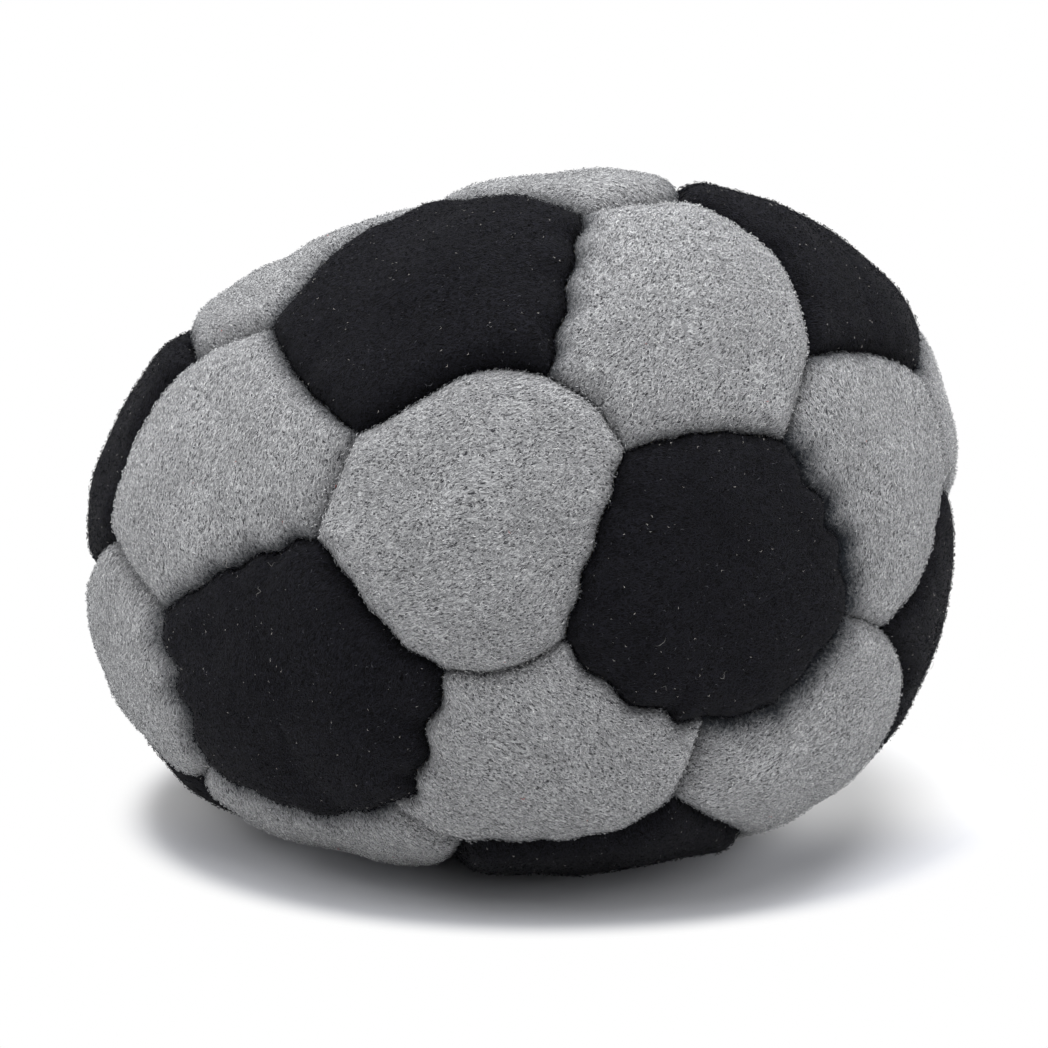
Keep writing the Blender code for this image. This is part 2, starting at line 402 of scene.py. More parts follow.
def side_distances(directions, sides):
    """Distance of each direction from each side's wavy seam, and how near a stitch is there."""
    reach = seam_reach(directions)
    distances = []
    closeness = []
    for side in sides:
        height = np.arcsin(np.clip(directions @ side.inward, -1, 1)) * reach
        shares = np.arctan2(directions @ side.ahead, directions @ side.start) / side.angle
        wave, stitch = wave_at(side, np.clip(shares, 0, 1))
        distances.append(np.maximum(height + wave - SEAM_GAP / 2, LEAST_DISTANCE))
        closeness.append(stitch)
    return np.array(distances), np.array(closeness)


def nearest_of(distances):
    return (distances**-CORNER_SOFTNESS).sum(axis=0) ** (-1 / CORNER_SOFTNESS)


def skin_rises(directions, sides, crown):
    """How high the skin stands over the seam surface, with a crown that is worked out below."""
    distances, closeness = side_distances(directions, sides)
    near = nearest_of(distances)
    shoulder = (1 - (1 - np.clip(near / SHOULDER_WIDTH, 0, 1)) ** 2) ** SHOULDER_FULLNESS
    puckers = (closeness * np.exp(-distances / PUCKER_REACH)).sum(axis=0)
    rises = (SHOULDER_RISE + CREASE_DEPTH) * shoulder - CREASE_DEPTH + crown
    rises -= PUCKER_DEPTH * puckers * shoulder
    return rises + dents(seam_points(directions)) * shoulder


# %% [markdown]
# ### Rings round a panel
#
# A panel is drawn in rings that run from its wavy edge to its middle, each with the same number of
# points. The same rings, only coarser, serve for the cloth simulation that comes next.

# %% Edge lines and rings
def edge_line(sides, points_per_side):
    """Directions along a panel's wavy edge, and the step inwards from it at each one."""
    line, inward = [], []
    shares = np.arange(points_per_side) / points_per_side
    for number, side in enumerate(sides):
        before = sides[number - 1].inward
        mitre = (before + side.inward) / (1 + before @ side.inward)
        waves, _ = wave_at(side, shares)
        for share, wave in zip(shares, waves):
            step = mitre if share == 0 else side.inward
            place = side.place(share)
            reach = float(seam_reach(place))
            line.append(unit(place + step * ((SEAM_GAP / 2 - wave) / reach)))
            inward.append(step / reach)
    return np.array(line), np.array(inward)


def panel_middle(sides):
    return unit(sum(side.start for side in sides))


def rings_of(sides, points_per_side, ways):
    """Rings of directions, each some way from the edge, 0, to the middle, 1."""
    line, _ = edge_line(sides, points_per_side)
    middle = panel_middle(sides)
    return [unit(line * (1 - way) + middle * way) for way in ways]


sample_rings = rings_of(panels["grey_panel_01"], 6, (0, 0.5))
print("points in a coarse ring:", len(sample_rings[0]))

# %% [markdown]
# ### The sand pushes the suede out
#
# Between its seams each panel is a patch of cloth that sand presses from inside. That is what a
# cloth simulation is for: every panel is a coarse net, pinned along its stitched edge, a little
# larger than its frame, and blown outwards. What comes out, a crown with soft folds where the
# seam swings, is measured as a height over the seam surface, and brought to the height that the
# photograph shows. Cloth is simulated twenty times as large, because the solver is made for
# garments.

# %% Simulate the crowns
CROWN_HEIGHT = 0.00042
CROWN_LIMIT = 2.2
CLOTH_SCALE = 20
CLOTH_PER_SIDE = 9
CLOTH_WAYS = np.arange(8) / 8
CLOTH_PRESSURE = 6
CLOTH_GROWTH = 0.04
CLOTH_FRAMES = 20


def new_mesh(name, points, edges=(), faces=()):
    mesh = bpy.data.meshes.new(name)
    mesh.from_pydata(np.asarray(points).tolist(), edges, faces)
    return mesh


def points_of(mesh):
    points = np.empty(len(mesh.vertices) * 3, np.float32)
    mesh.vertices.foreach_get("co", points)
    return points.reshape(-1, 3)


def add_piece(name, mesh):
    piece = bpy.data.objects.new(name, mesh)
    bpy.context.scene.collection.objects.link(piece)
    return piece


def net_faces(first, ring_count, around_count):
    """Quads between the rings of one net, outermost ring first, and a fan round its middle."""
    faces = []
    for ring in range(ring_count):
        for step in range(around_count):
            after = (step + 1) % around_count
            low = first + ring * around_count
            high = low + around_count
            if ring == ring_count - 1:
                faces.append((low + step, low + after, high))
            else:
                faces.append((low + step, low + after, high + after, high + step))
    return faces


def cloth_nets():
    """One mesh with a net for every panel, the directions of its points, and what is pinned."""
    directions, faces, pinned = [], [], []
    for sides in panels.values():
        rings = rings_of(sides, CLOTH_PER_SIDE, CLOTH_WAYS)
        first = len(directions)
        pinned += range(first, first + len(rings[0]))
        faces += net_faces(first, len(rings), len(rings[0]))
        directions += [place for ring in rings for place in ring] + [panel_middle(sides)]
    return np.array(directions), faces, pinned


def blown_heights():
    """How far each point of the nets moves outwards under pressure."""
    directions, faces, pinned = cloth_nets()
    start = seam_points(directions) * CLOTH_SCALE
    nets = add_piece("panel_nets", new_mesh("panel_nets", start, faces=faces))
    nets.vertex_groups.new(name="stitched").add(pinned, 1, "REPLACE")
    cloth = nets.modifiers.new("cloth", "CLOTH")
    cloth.settings.vertex_group_mass = "stitched"
    cloth.settings.effector_weights.gravity = 0
    cloth.settings.use_pressure = True
    cloth.settings.uniform_pressure_force = CLOTH_PRESSURE
    cloth.settings.shrink_min = -CLOTH_GROWTH
    cloth.collision_settings.use_collision = False
    cloth.point_cache.frame_start = 1
    cloth.point_cache.frame_end = CLOTH_FRAMES
    scene = bpy.context.scene
    for frame_number in range(1, CLOTH_FRAMES + 1):
        scene.frame_set(frame_number)
    blown = nets.evaluated_get(bpy.context.evaluated_depsgraph_get())
    steps = points_of(blown.data) - start
    scene.frame_set(1)
    bpy.data.objects.remove(nets, do_unlink=True)
    return (steps * outward_at(directions)).sum(axis=1) / CLOTH_SCALE


def simulated_crowns():
    heights = blown_heights()
    crowns = {}
    first = 0
    for name, sides in panels.items():
        around_count = CLOTH_PER_SIDE * len(sides)
        last = first + around_count * len(CLOTH_WAYS)
        rings = heights[first:last].reshape(-1, around_count)
        crowns[name] = np.concatenate((rings, np.full((1, around_count), heights[last])))
        first = last + 1
    mean = np.mean([rings[-1, 0] for rings in crowns.values()])
    print("crowns before fitting:", round(mean * MILLIMETRES, 2), "mm")
    return {name: np.clip(rings / mean, 0, CROWN_LIMIT) * CROWN_HEIGHT
            for name, rings in crowns.items()}


def crown_rings(name, ways, around_count):
    """The crown's height on fine rings, read off between the points of the coarse net."""
    rings = crowns[name]
    coarse_ways = (*CLOTH_WAYS, 1)
    across = np.arange(around_count) / around_count * rings.shape[1]
    wrapped = np.concatenate((rings, rings[:, :1]), axis=1)
    fine = np.array([np.interp(across, np.arange(rings.shape[1] + 1), ring) for ring in wrapped])
    return np.array([[np.interp(way, coarse_ways, column) for column in fine.T] for way in ways])


crowns = simulated_crowns()
tallest = max(float(rings.max()) for rings in crowns.values())
print("tallest crown:", round(tallest * MILLIMETRES, 2), "mm")

# %% [markdown]
# ### From rings to a mesh
#
# The outer rings, the turned-in edge and the inner rings all have the same number of points, so
# the shell is one long sleeve with a fan at each end.

# %% Rings and faces of a shell
POINTS_PER_SIDE = 32
OUTER_RINGS = 26
RING_CROWDING = 1.5
OUTER_WAYS = (np.arange(OUTER_RINGS) / OUTER_RINGS) ** RING_CROWDING
INNER_RINGS = (9, 13, 17, 21)
SUEDE_THICKNESS = 0.0008
# How far in from the seam, and how deep, the turned-in edge passes.
TURNED_IN = ((0.0001, 0.001), (0.00035, 0.0016), (0.00075, 0.0022), (0.00145, 0.0022))


def sleeve_faces(ring_count, around_count):
    """Quads between rings that follow each other, outermost ring last, and a fan at each end."""
    faces = []
    for ring in range(ring_count - 1):
        for step in range(around_count):
            after = (step + 1) % around_count
            low, high = 2 + ring * around_count, 2 + (ring + 1) * around_count
            faces.append((low + step, high + step, high + after, low + after))
    last = 2 + (ring_count - 1) * around_count
    for step in range(around_count):
        after = (step + 1) % around_count
        faces.append((0, 2 + step, 2 + after))
        faces.append((1, last + after, last + step))
    return faces


def outer_places(sides):
    """Directions of a panel's outer face: its middle, and every ring from there to the edge."""
    rings = rings_of(sides, POINTS_PER_SIDE, OUTER_WAYS)
    return np.concatenate([panel_middle(sides)[None]] + rings[::-1])


def panel_shell(name, sides):
    """Points of a panel's shell: both middles, then the rings from the crown to the inner face."""
    line, inward = edge_line(sides, POINTS_PER_SIDE)
    outer = outer_places(sides)
    crown = crown_rings(name, OUTER_WAYS, len(line))
    top = crowns[name][-1, 0]
    rises = skin_rises(outer, sides, np.concatenate(([top], crown[::-1].ravel())))
    skin = skin_points(outer, rises)
    inside = skin_points(outer[0], rises[0], SUEDE_THICKNESS)
    points = [skin[:1], inside[None], skin[1:]]
    for spread, depth in TURNED_IN:
        edge = unit(line + inward * spread)
        points.append(skin_points(edge, np.full(len(line), -depth)))
    points.append(skin_points(edge, skin_rises(edge, sides, 0), SUEDE_THICKNESS))
    rings = outer[1:].reshape(OUTER_RINGS, -1, 3)[::-1]
    for number in INNER_RINGS:
        inner = skin_rises(rings[number], sides, crown[number])
        points.append(skin_points(rings[number], inner, SUEDE_THICKNESS))
    return np.concatenate(points)


# %% How near the seams are
SEAM_SHADE_WIDTH = 0.0005
# How much black has come off onto the grey suede along a seam, with painted shade beside the seam
# as well: how wide the trace is, how dark it is, how sharply it ends, and where it shows most.
RUB_AND_SHADE_WIDTHS = (0.0003, 0.0012)
LEAST_RUB_AND_SHADE = 0.5
RUB_AND_SHADE_SHARPNESS = 1.5
RUB_AND_SHADE_SEED = 300
MILD_RUBS_AND_SHADES = (0.1, 0.7)
RUBBED_AND_SHADED_SEAMS = {
    ("front_right", "right", "upper_right"): 1.0,
    ("front_right", "lower_front", "right"): 0.8,
    ("front_right", "upper_right", "upper_front"): 0.1,
    ("front_right", "upper_front", "front_left"): 0.05,
    ("front_right", "front_left", "lower_front"): 0.15,
    ("front_left", "left", "lower_left"): 0.55,
    ("front_left", "upper_front", "left"): 0.45,
    ("front_left", "front_right", "upper_front"): 0.05,
    ("front_left", "lower_front", "front_right"): 0.1,
    ("upper_front", "front_left", "front_right"): 0.1,
    ("upper_front", "left", "front_left"): 0.3,
}


def on_outer(values, count):
    """Values for the outer face spread over all points of a shell, whose second one is inside."""
    spread = np.zeros((count, *values.shape[1:]))
    spread[0] = values[0]
    spread[2 : len(values) + 1] = values[1:]
    return spread


def seam_tones(sides, count):
    """How near each point is to any seam, and how much black dye and painted shade lie on it, from
    0 to 1.
    """
    outer = outer_places(sides)
    distances, _ = side_distances(outer, sides)
    near = on_outer(np.exp(-nearest_of(distances) / SEAM_SHADE_WIDTH), count)
    near[len(outer) + 1 :] = 1
    black = np.zeros(len(outer))
    for side, distance in zip(sides, distances):
        if side.bulge < 0 and len(side.seam) == 3:
            rng = np.random.default_rng(RUB_AND_SHADE_SEED + list(seams).index(side.seam))
            rub_and_shade = RUBBED_AND_SHADED_SEAMS.get(side.seam, rng.uniform(*MILD_RUBS_AND_SHADES))
            width = RUB_AND_SHADE_WIDTHS[0] * (1 - rub_and_shade) + RUB_AND_SHADE_WIDTHS[1] * rub_and_shade
            strength = LEAST_RUB_AND_SHADE + (1 - LEAST_RUB_AND_SHADE) * rub_and_shade
            # Black dye and painted shade beside the seam.
            black += strength * np.exp(-((distance / width) ** RUB_AND_SHADE_SHARPNESS))
    return near, np.clip(on_outer(black, count), 0, 1)


shell = panel_shell("grey_panel_01", panels["grey_panel_01"])
print("points in one grey panel:", len(shell))

# %% [markdown]
# ### The cut of the cloth
#
# Suede has a grain: its nap was brushed one way, and each panel was cut and sewn in at another
# angle. So every panel gets a flat map, as if the cloth lay on the table again. Each point keeps
# its distance from the middle, measured over the skin, and the map is turned so that the nap runs
# along its first axis.

# %% Lay the cloth flat
# Angles from level, in degrees, of the panels on which the photograph shows the grain.
NAP_WAYS = {
    "grey_panel_01": 22,
    "grey_panel_02": 35,
    "grey_panel_03": 110,
    "grey_panel_05": 30,
    "grey_panel_06": -35,
    "grey_panel_07": 60,
    "grey_panel_08": 20,
    "grey_panel_09": 75,
}
NAP_SEED = 500
# The map's third axis keeps the panels apart.
PANELS_APART = 100


def panel_axes(directions):
    """Two axes in the skin at each direction: level, and up along it."""
    outward = outward_at(directions)
    level = unit(np.cross((0.0, 0.0, 1.0), directions[0]))
    level = unit(level - outward * (outward @ level[:, None]))
    return level, np.cross(outward, level)


def nap_way(name):
    """The angle from level at which a panel's nap lies."""
    rng = np.random.default_rng(NAP_SEED + list(panels).index(name))
    return math.radians(NAP_WAYS.get(name, rng.uniform(0, 360)))


def cloth_map(name, sides, points):
    """Where each point of a shell lies on the flat cloth; every panel has a level of its own."""
    around_count = POINTS_PER_SIDE * len(sides)
    rings = points[2:].reshape(-1, around_count, 3)
    steps = np.diff(rings, axis=0, prepend=np.broadcast_to(points[0], rings[:1].shape))
    reach = np.cumsum(np.linalg.norm(steps, axis=2), axis=0)
    level, up = panel_axes(panel_middle(sides)[None])
    edge = rings[OUTER_RINGS - 1] - points[0]
    angle = np.arctan2(edge @ up[0], edge @ level[0]) - nap_way(name)
    place = np.zeros((len(points), 3))
    place[2:, 0] = (reach * np.cos(angle)).ravel()
    place[2:, 1] = (reach * np.sin(angle)).ravel()
    place[:, 2] = list(panels).index(name)
    return place


example = panel_shell("grey_panel_01", panels["grey_panel_01"])
spread = cloth_map("grey_panel_01", panels["grey_panel_01"], example)
print("flat panel:", round(np.ptp(spread[:, 0]) * MILLIMETRES, 1), "mm long, both faces")

# %% Make the panels
def add_attribute(mesh, name, values):
    """A number or a vector for each point of a mesh."""
    kind, key = ("FLOAT_VECTOR", "vector") if values.ndim == 2 else ("FLOAT", "value")
    attribute = mesh.attributes.new(name, kind, "POINT")
    attribute.data.foreach_set(key, values.astype(np.float32).ravel())


def make_panel(name, sides):
    points = panel_shell(name, sides)
    around_count = POINTS_PER_SIDE * len(sides)
    faces = sleeve_faces((len(points) - 2) // around_count, around_count)
    mesh = new_mesh("suede_" + name, points + BAG_MIDDLE, faces=faces)
    mesh.shade_smooth()
    nearness, rub_and_shade = seam_tones(sides, len(points))
    add_attribute(mesh, "seam_nearness", nearness)
    add_attribute(mesh, "rubbed_black", rub_and_shade)
    flat = cloth_map(name, sides, points) * (MILLIMETRES, MILLIMETRES, PANELS_APART)
    add_attribute(mesh, "flat_place", flat)
    return add_piece("suede_" + name, mesh)


suede_pieces = {name: make_panel(name, sides) for name, sides in panels.items()}
print("suede faces:", sum(len(piece.data.polygons) for piece in suede_pieces.values()))

# %% [markdown]
# ## The felt under the nap
#
# Synthetic suede is a felt of very fine fibres. Up close it is a mottle of pale, curly strands a
# third of a millimetre long, with small dark pits between them. The zero line of a noise is a
# curly line, so two noises at their zero lines make the strands, and a third one makes the pits.
# On the flat map all three are drawn out along the nap. Both suedes use this effect with their own
# colours, so it is a node group.

# %% Helpers for building node trees


def feed(tree, node, inputs):
    """Gives inputs a constant, another node's output, or the first output of a node."""
    for label, value in inputs.items():
        if isinstance(value, bpy.types.Node):
            value = value.outputs[0]
        if isinstance(value, bpy.types.NodeSocket):
            tree.links.new(value, node.inputs[label])
        else:
            node.inputs[label].default_value = value


def add_node(tree, kind, inputs=None, **settings):
    node = tree.nodes.new(kind)
    for setting, value in settings.items():
        setattr(node, setting, value)
    feed(tree, node, inputs or {})
    return node


def math_node(tree, operation, *values):
    return add_node(tree, "ShaderNodeMath", dict(enumerate(values)), operation=operation)


def vector_math(tree, operation, *values):
    places = (0, "Scale") if operation == "SCALE" else range(3)
    inputs = dict(zip(places, values))
    return add_node(tree, "ShaderNodeVectorMath", inputs, operation=operation)


def joined_vector(tree, x, y, z):
    return add_node(tree, "ShaderNodeCombineXYZ", {0: x, 1: y, 2: z})


def stretch(tree, value, low, high):
    """Spreads the range from low to high over 0 to 1."""
    inputs = {"Value": value, "From Min": low, "From Max": high}
    return add_node(tree, "ShaderNodeMapRange", inputs, interpolation_type="SMOOTHSTEP")


def blend(tree, share, low, high):
    inputs = {0: share, 6: low, 7: high}
    return add_node(tree, "ShaderNodeMix", inputs, data_type="RGBA").outputs[2]


def noise(tree, vector, fineness, detail=2.0):
    inputs = {"Vector": vector, "Scale": fineness, "Detail": detail}
    return add_node(tree, "ShaderNodeTexNoise", inputs)


def mapped(tree, vector, scale):
    return add_node(tree, "ShaderNodeMapping", {"Vector": vector, "Scale": scale})


def new_tree(kind, name, inputs, output_kinds):
    """A tree, what it is given and the node for what it makes; inputs may have a value."""
    tree = bpy.data.node_groups.new(name, kind)
    for label, socket_kind, *values in inputs:
        socket = tree.interface.new_socket(
            label, in_out="INPUT", socket_type="NodeSocket" + socket_kind
        )
        for value in values:
            socket.default_value = value
    for label, socket_kind in output_kinds.items():
        tree.interface.new_socket(label, in_out="OUTPUT", socket_type="NodeSocket" + socket_kind)
    return tree, add_node(tree, "NodeGroupInput").outputs, add_node(tree, "NodeGroupOutput")


# %% The felt group
BEND_FINENESS = 0.12
GRAIN_BEND = 3.0
DRAWN_OUT = (0.55, 1.15, 1.0)
CURL_FINENESS = 1.6
CURL = 0.3
# How fine the noises of the long and of the short strands are, and where they are read.
LONG_STRANDS = (4.8, 3.0)
SHORT_STRANDS = (8.16, 11.0)
SHORT_STRENGTH = 0.8
STRAND_WIDTH = 0.09
PIT_FINENESS = 6.5
PIT_LEVELS = (0.53, 0.62)
PATCH_FINENESS = 0.35
PATCH_BRIGHTNESS = (0.08, 0.96)
FELT_ROUGHNESS = (0.06, 0.9)
FELT_RELIEF = 0.00005


def curled(tree, vector, fineness, amount):
    """The pattern's coordinates, pushed about so that its lines curl."""
    pushing = noise(tree, vector, fineness, 1.0).outputs["Color"]
    return vector_math(tree, "MULTIPLY_ADD", pushing, (amount, amount, amount), vector)


def curly_lines(tree, vector, fineness, shift):
    """1 along the zero lines of a noise, falling to 0 a strand's width away."""
    shifted = vector_math(tree, "ADD", vector, (shift, shift, -shift))
    level = math_node(tree, "SUBTRACT", noise(tree, shifted, fineness, 1.0), 0.5)
    return stretch(tree, math_node(tree, "ABSOLUTE", level), STRAND_WIDTH, 0.0)


def build_felt_group():
    group, given, made = new_tree(
        "ShaderNodeTree",
        "suede_felt",
        (
            ("Place", "Vector"),
            ("Strand Colour", "Color", (0.4, 0.4, 0.4, 1)),
            ("Felt Colour", "Color", (0.3, 0.3, 0.3, 1)),
            ("Pit Colour", "Color", (0.05, 0.05, 0.05, 1)),
            ("Relief", "Float", 1.0),
        ),
        {"Colour": "Color", "Roughness": "Float", "Normal": "Vector"},
    )
    place = curled(group, given["Place"], BEND_FINENESS, GRAIN_BEND)
    place = curled(group, mapped(group, place, DRAWN_OUT), CURL_FINENESS, CURL)
    short = math_node(group, "MULTIPLY", curly_lines(group, place, *SHORT_STRANDS), SHORT_STRENGTH)
    strands = math_node(group, "MAXIMUM", curly_lines(group, place, *LONG_STRANDS), short)
    pits = stretch(group, noise(group, place, PIT_FINENESS, 1.0), *PIT_LEVELS)
    pits = math_node(group, "MULTIPLY", pits, math_node(group, "SUBTRACT", 1.0, strands))
    felt = blend(group, strands, given["Felt Colour"], given["Strand Colour"])
    patches = noise(group, given["Place"], PATCH_FINENESS)
    shade = {
        "Color": blend(group, pits, felt, given["Pit Colour"]),
        "Value": math_node(group, "MULTIPLY_ADD", patches, *PATCH_BRIGHTNESS),
    }
    bump = {
        "Distance": FELT_RELIEF,
        "Strength": given["Relief"],
        "Height": math_node(group, "SUBTRACT", strands, pits),
    }
    feed(group, made, {
        "Colour": add_node(group, "ShaderNodeHueSaturation", shade),
        "Roughness": math_node(group, "MULTIPLY_ADD", pits, *FELT_ROUGHNESS),
        "Normal": add_node(group, "ShaderNodeBump", bump),
    })
    return group


felt_group = build_felt_group()
print("felt group nodes:", len(felt_group.nodes))

# %% [markdown]
# ## Black dye on the grey, and painted shade
#
# Black fibres lie over the grey suede beside a black panel, so the grey looks darker there, and
# the same darkening also stands in for the shade beside those seams as painted shade. The felt and
# its nap both need this, so it is a group as well: how near the black panel is comes from an
# attribute, and two noises make the smudge patchy.

# %% The group for black dye and painted shade
SMUDGE_AND_SHADE_FINENESSES = (0.4, 4.0)
MOST_SMUDGE_AND_SHADE = 0.97


def build_smudge_and_shade_group():
    group, given, made = new_tree(
        "ShaderNodeTree",
        "black_smudge_and_shade",
        (
            ("Place", "Vector"),
            ("Nearness", "Float", 0.0),
            ("Colour", "Color", (1, 1, 1, 1)),
            ("Black", "Color", (0.01, 0.01, 0.012, 1)),
            ("Strength", "Float", 1.0),
        ),
        {"Colour": "Color"},
    )
    slow, fine = (noise(group, given["Place"], fineness) for fineness in SMUDGE_AND_SHADE_FINENESSES)
    share = math_node(group, "MULTIPLY", given["Nearness"], math_node(group, "ADD", slow, fine))
    share = math_node(group, "MULTIPLY", share, given["Strength"])
    share = math_node(group, "MINIMUM", share, MOST_SMUDGE_AND_SHADE)
    feed(group, made, {"Colour": blend(group, share, given["Colour"], given["Black"])})
    return group


smudge_and_shade_group = build_smudge_and_shade_group()
print("smudge group nodes:", len(smudge_and_shade_group.nodes))

# %% [markdown]
# ## Two suedes
#
# Both are rough, with a soft sheen at glancing angles and almost no shine. The grey one darkens
# beside a black panel, partly where black fibres lie over it and partly as painted shade, and both
# have a little painted shade in the seams.

# %% The suede materials
FELTS = {
    "grey": {
        "Strand Colour": (0.46, 0.465, 0.475, 1),
        "Felt Colour": (0.235, 0.238, 0.247, 1),
        "Pit Colour": (0.035, 0.035, 0.04, 1),
        "Relief": 1.0,
    },
    "black": {
        "Strand Colour": (0.0105, 0.0107, 0.015, 1),
        "Felt Colour": (0.0025, 0.0026, 0.0038, 1),
        "Pit Colour": (0.0005, 0.0005, 0.0008, 1),
        "Relief": 0.9,
    },
}
SHEENS = {"grey": 0.1, "black": 0.015}
SHEEN_ROUGHNESS = 0.5
SHINES = {"grey": 0.15, "black": 0.1}
CREASE_SHADE = 0.25
SMUDGE_AND_SHADE_COLOUR = (0.011, 0.016, 0.024, 1)
SMUDGE_AND_SHADE_STRENGTH = 1.05


def new_material(name):
    material = bpy.data.materials.new(name)
    material.use_nodes = True
    return material, material.node_tree, material.node_tree.nodes["Principled BSDF"]


def attribute_of(tree, name, output="Fac"):
    return add_node(tree, "ShaderNodeAttribute", attribute_name=name).outputs[output]


def in_millimetres(tree):
    """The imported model's own coordinates, in millimetres, so that patterns keep a real size."""
    coordinates = add_node(tree, "ShaderNodeTexCoord").outputs["Object"]
    return mapped(tree, coordinates, (MILLIMETRES, MILLIMETRES, MILLIMETRES))


def from_group(tree, group, inputs):
    return add_node(tree, "ShaderNodeGroup", inputs, node_tree=group)


def smudged_and_shaded(tree, kind, colour):
    """The colour of grey suede with black dye and painted shade beside the black panels. Black
    suede stays as it is.
    """
    if kind == "black":
        return colour
    return from_group(tree, smudge_and_shade_group, {
        "Place": in_millimetres(tree),
        "Nearness": attribute_of(tree, "rubbed_black"),
        "Colour": colour,
        "Black": SMUDGE_AND_SHADE_COLOUR,
        "Strength": SMUDGE_AND_SHADE_STRENGTH,
    })


def make_suede(kind):
    material, tree, shader = new_material(kind + "_suede_cloth")
    flat = attribute_of(tree, "flat_place", "Vector")
    felt = from_group(tree, felt_group, {"Place": flat} | FELTS[kind])
    # Painted shade in the seams: the colour darkens towards the pit colour near a seam.
    crease = math_node(tree, "MULTIPLY", attribute_of(tree, "seam_nearness"), CREASE_SHADE)
    # Black dye and painted shade beside the black panels darken the grey.
    colour = smudged_and_shaded(tree, kind, felt)
    feed(tree, shader, {
        "Base Color": blend(tree, crease, colour, FELTS[kind]["Pit Colour"]),
        "Roughness": felt.outputs["Roughness"],
        "Normal": felt.outputs["Normal"],
        "Specular IOR Level": SHINES[kind],
        "Sheen Weight": SHEENS[kind],
        "Sheen Roughness": SHEEN_ROUGHNESS,
    })
    return material


suede = {kind: make_suede(kind) for kind in FELTS}

# %% Dress the panels
for name, piece in suede_pieces.items():
    kind = name.split("_")[0]
    piece.data.materials.append(suede[kind])
    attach(piece, "root")
    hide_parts(name)
print("panels dressed:", len(suede_pieces))

# %% [markdown]
# ## The nap
#
# What catches the light on suede is its nap: short fibres that lie about on the felt, mostly the
# way that it was brushed, and stand out a little at the outline. A pattern alone can't do that,
# so Geometry Nodes scatter real fibres over each panel: one bent spindle of six faces, many
# thousand times. Beside a seam they lean out over it, and black ones reach onto the grey suede.

# %% Which way the nap lies
NAP_SWIRL = 0.5
NAP_SWIRL_LENGTH = 0.012
NAP_SWIRL_WAVES = 6
NAP_SWIRL_RANGE = (0.5, 1.5)
NAP_SWIRL_SEED = 21
EDGE_REACH = 0.0007
EDGE_LEAN = {"black": 2.2, "grey": 1.0}
BARE_BELOW = 0.0004


def swirl(points):
    """An angle that changes slowly over the bag, so that no two places are brushed quite alike."""
    rng = np.random.default_rng(NAP_SWIRL_SEED)
    angle = np.zeros(len(points))
    for _ in range(NAP_SWIRL_WAVES):
        heading = unit(rng.normal(size=3)) * 2 * math.pi / NAP_SWIRL_LENGTH
        wave = points @ heading * rng.uniform(*NAP_SWIRL_RANGE)
        angle += np.sin(wave + rng.uniform(0, 2 * math.pi))
    return angle * NAP_SWIRL / 2


def add_nap_guides(name, sides, mesh):
    """Gives every outer point of a panel the way its nap lies, and the share of nap it carries."""
    count = len(mesh.vertices)
    outer = outer_places(sides)
    level, up = panel_axes(outer)
    angle = (nap_way(name) + swirl(seam_points(outer)))[:, None]
    lean = np.cos(angle) * level + np.sin(angle) * up
    distances, _ = side_distances(outer, sides)
    for side, distance in zip(sides, distances):
        over = np.exp(-distance / EDGE_REACH)[:, None] * EDGE_LEAN[name.split("_")[0]]
        lean = lean - over * side.inward
    above_table = points_of(mesh)[:, 2] > BARE_BELOW
    add_attribute(mesh, "lean", on_outer(lean, count))
    add_attribute(mesh, "cover", on_outer(np.ones(len(outer)), count) * above_table)


for name, sides in panels.items():
    add_nap_guides(name, sides, suede_pieces[name].data)
print("nap guides on", len(panels), "panels")

# %% One fibre and how fibres are scattered
FIBRE_SIDES = 3
TIP_JOIN = 1e-7
CURL_TURNS = 1.5
CURL_SHARE = 0.8
FIBRE_SIZES = (0.55, 1.35)
LINT_SHORT_FROM = 0.95


def random_number(tree, low, high, seed, step):
    """A random number for each point. Steps past the seed keep the numbers of one tree apart."""
    inputs = {2: low, 3: high, "Seed": math_node(tree, "ADD", seed, step)}
    return add_node(tree, "FunctionNodeRandomValue", inputs, data_type="FLOAT").outputs[1]


def random_vector(tree, seed):
    inputs = {0: (-1, -1, -1), 1: (1, 1, 1), "Seed": seed}
    return add_node(tree, "FunctionNodeRandomValue", inputs, data_type="FLOAT_VECTOR")


def named(tree, name, kind="FLOAT"):
    return add_node(tree, "GeometryNodeInputNamedAttribute", {"Name": name}, data_type=kind)


def ring_of(tree, sides, width):
    radius = math_node(tree, "MULTIPLY", width, 0.5)
    inputs = {"Resolution": sides, "Radius": radius}
    return add_node(tree, "GeometryNodeCurvePrimitiveCircle", inputs)


def moved(tree, geometry, **how):
    return add_node(tree, "GeometryNodeSetPosition", {"Geometry": geometry} | how)


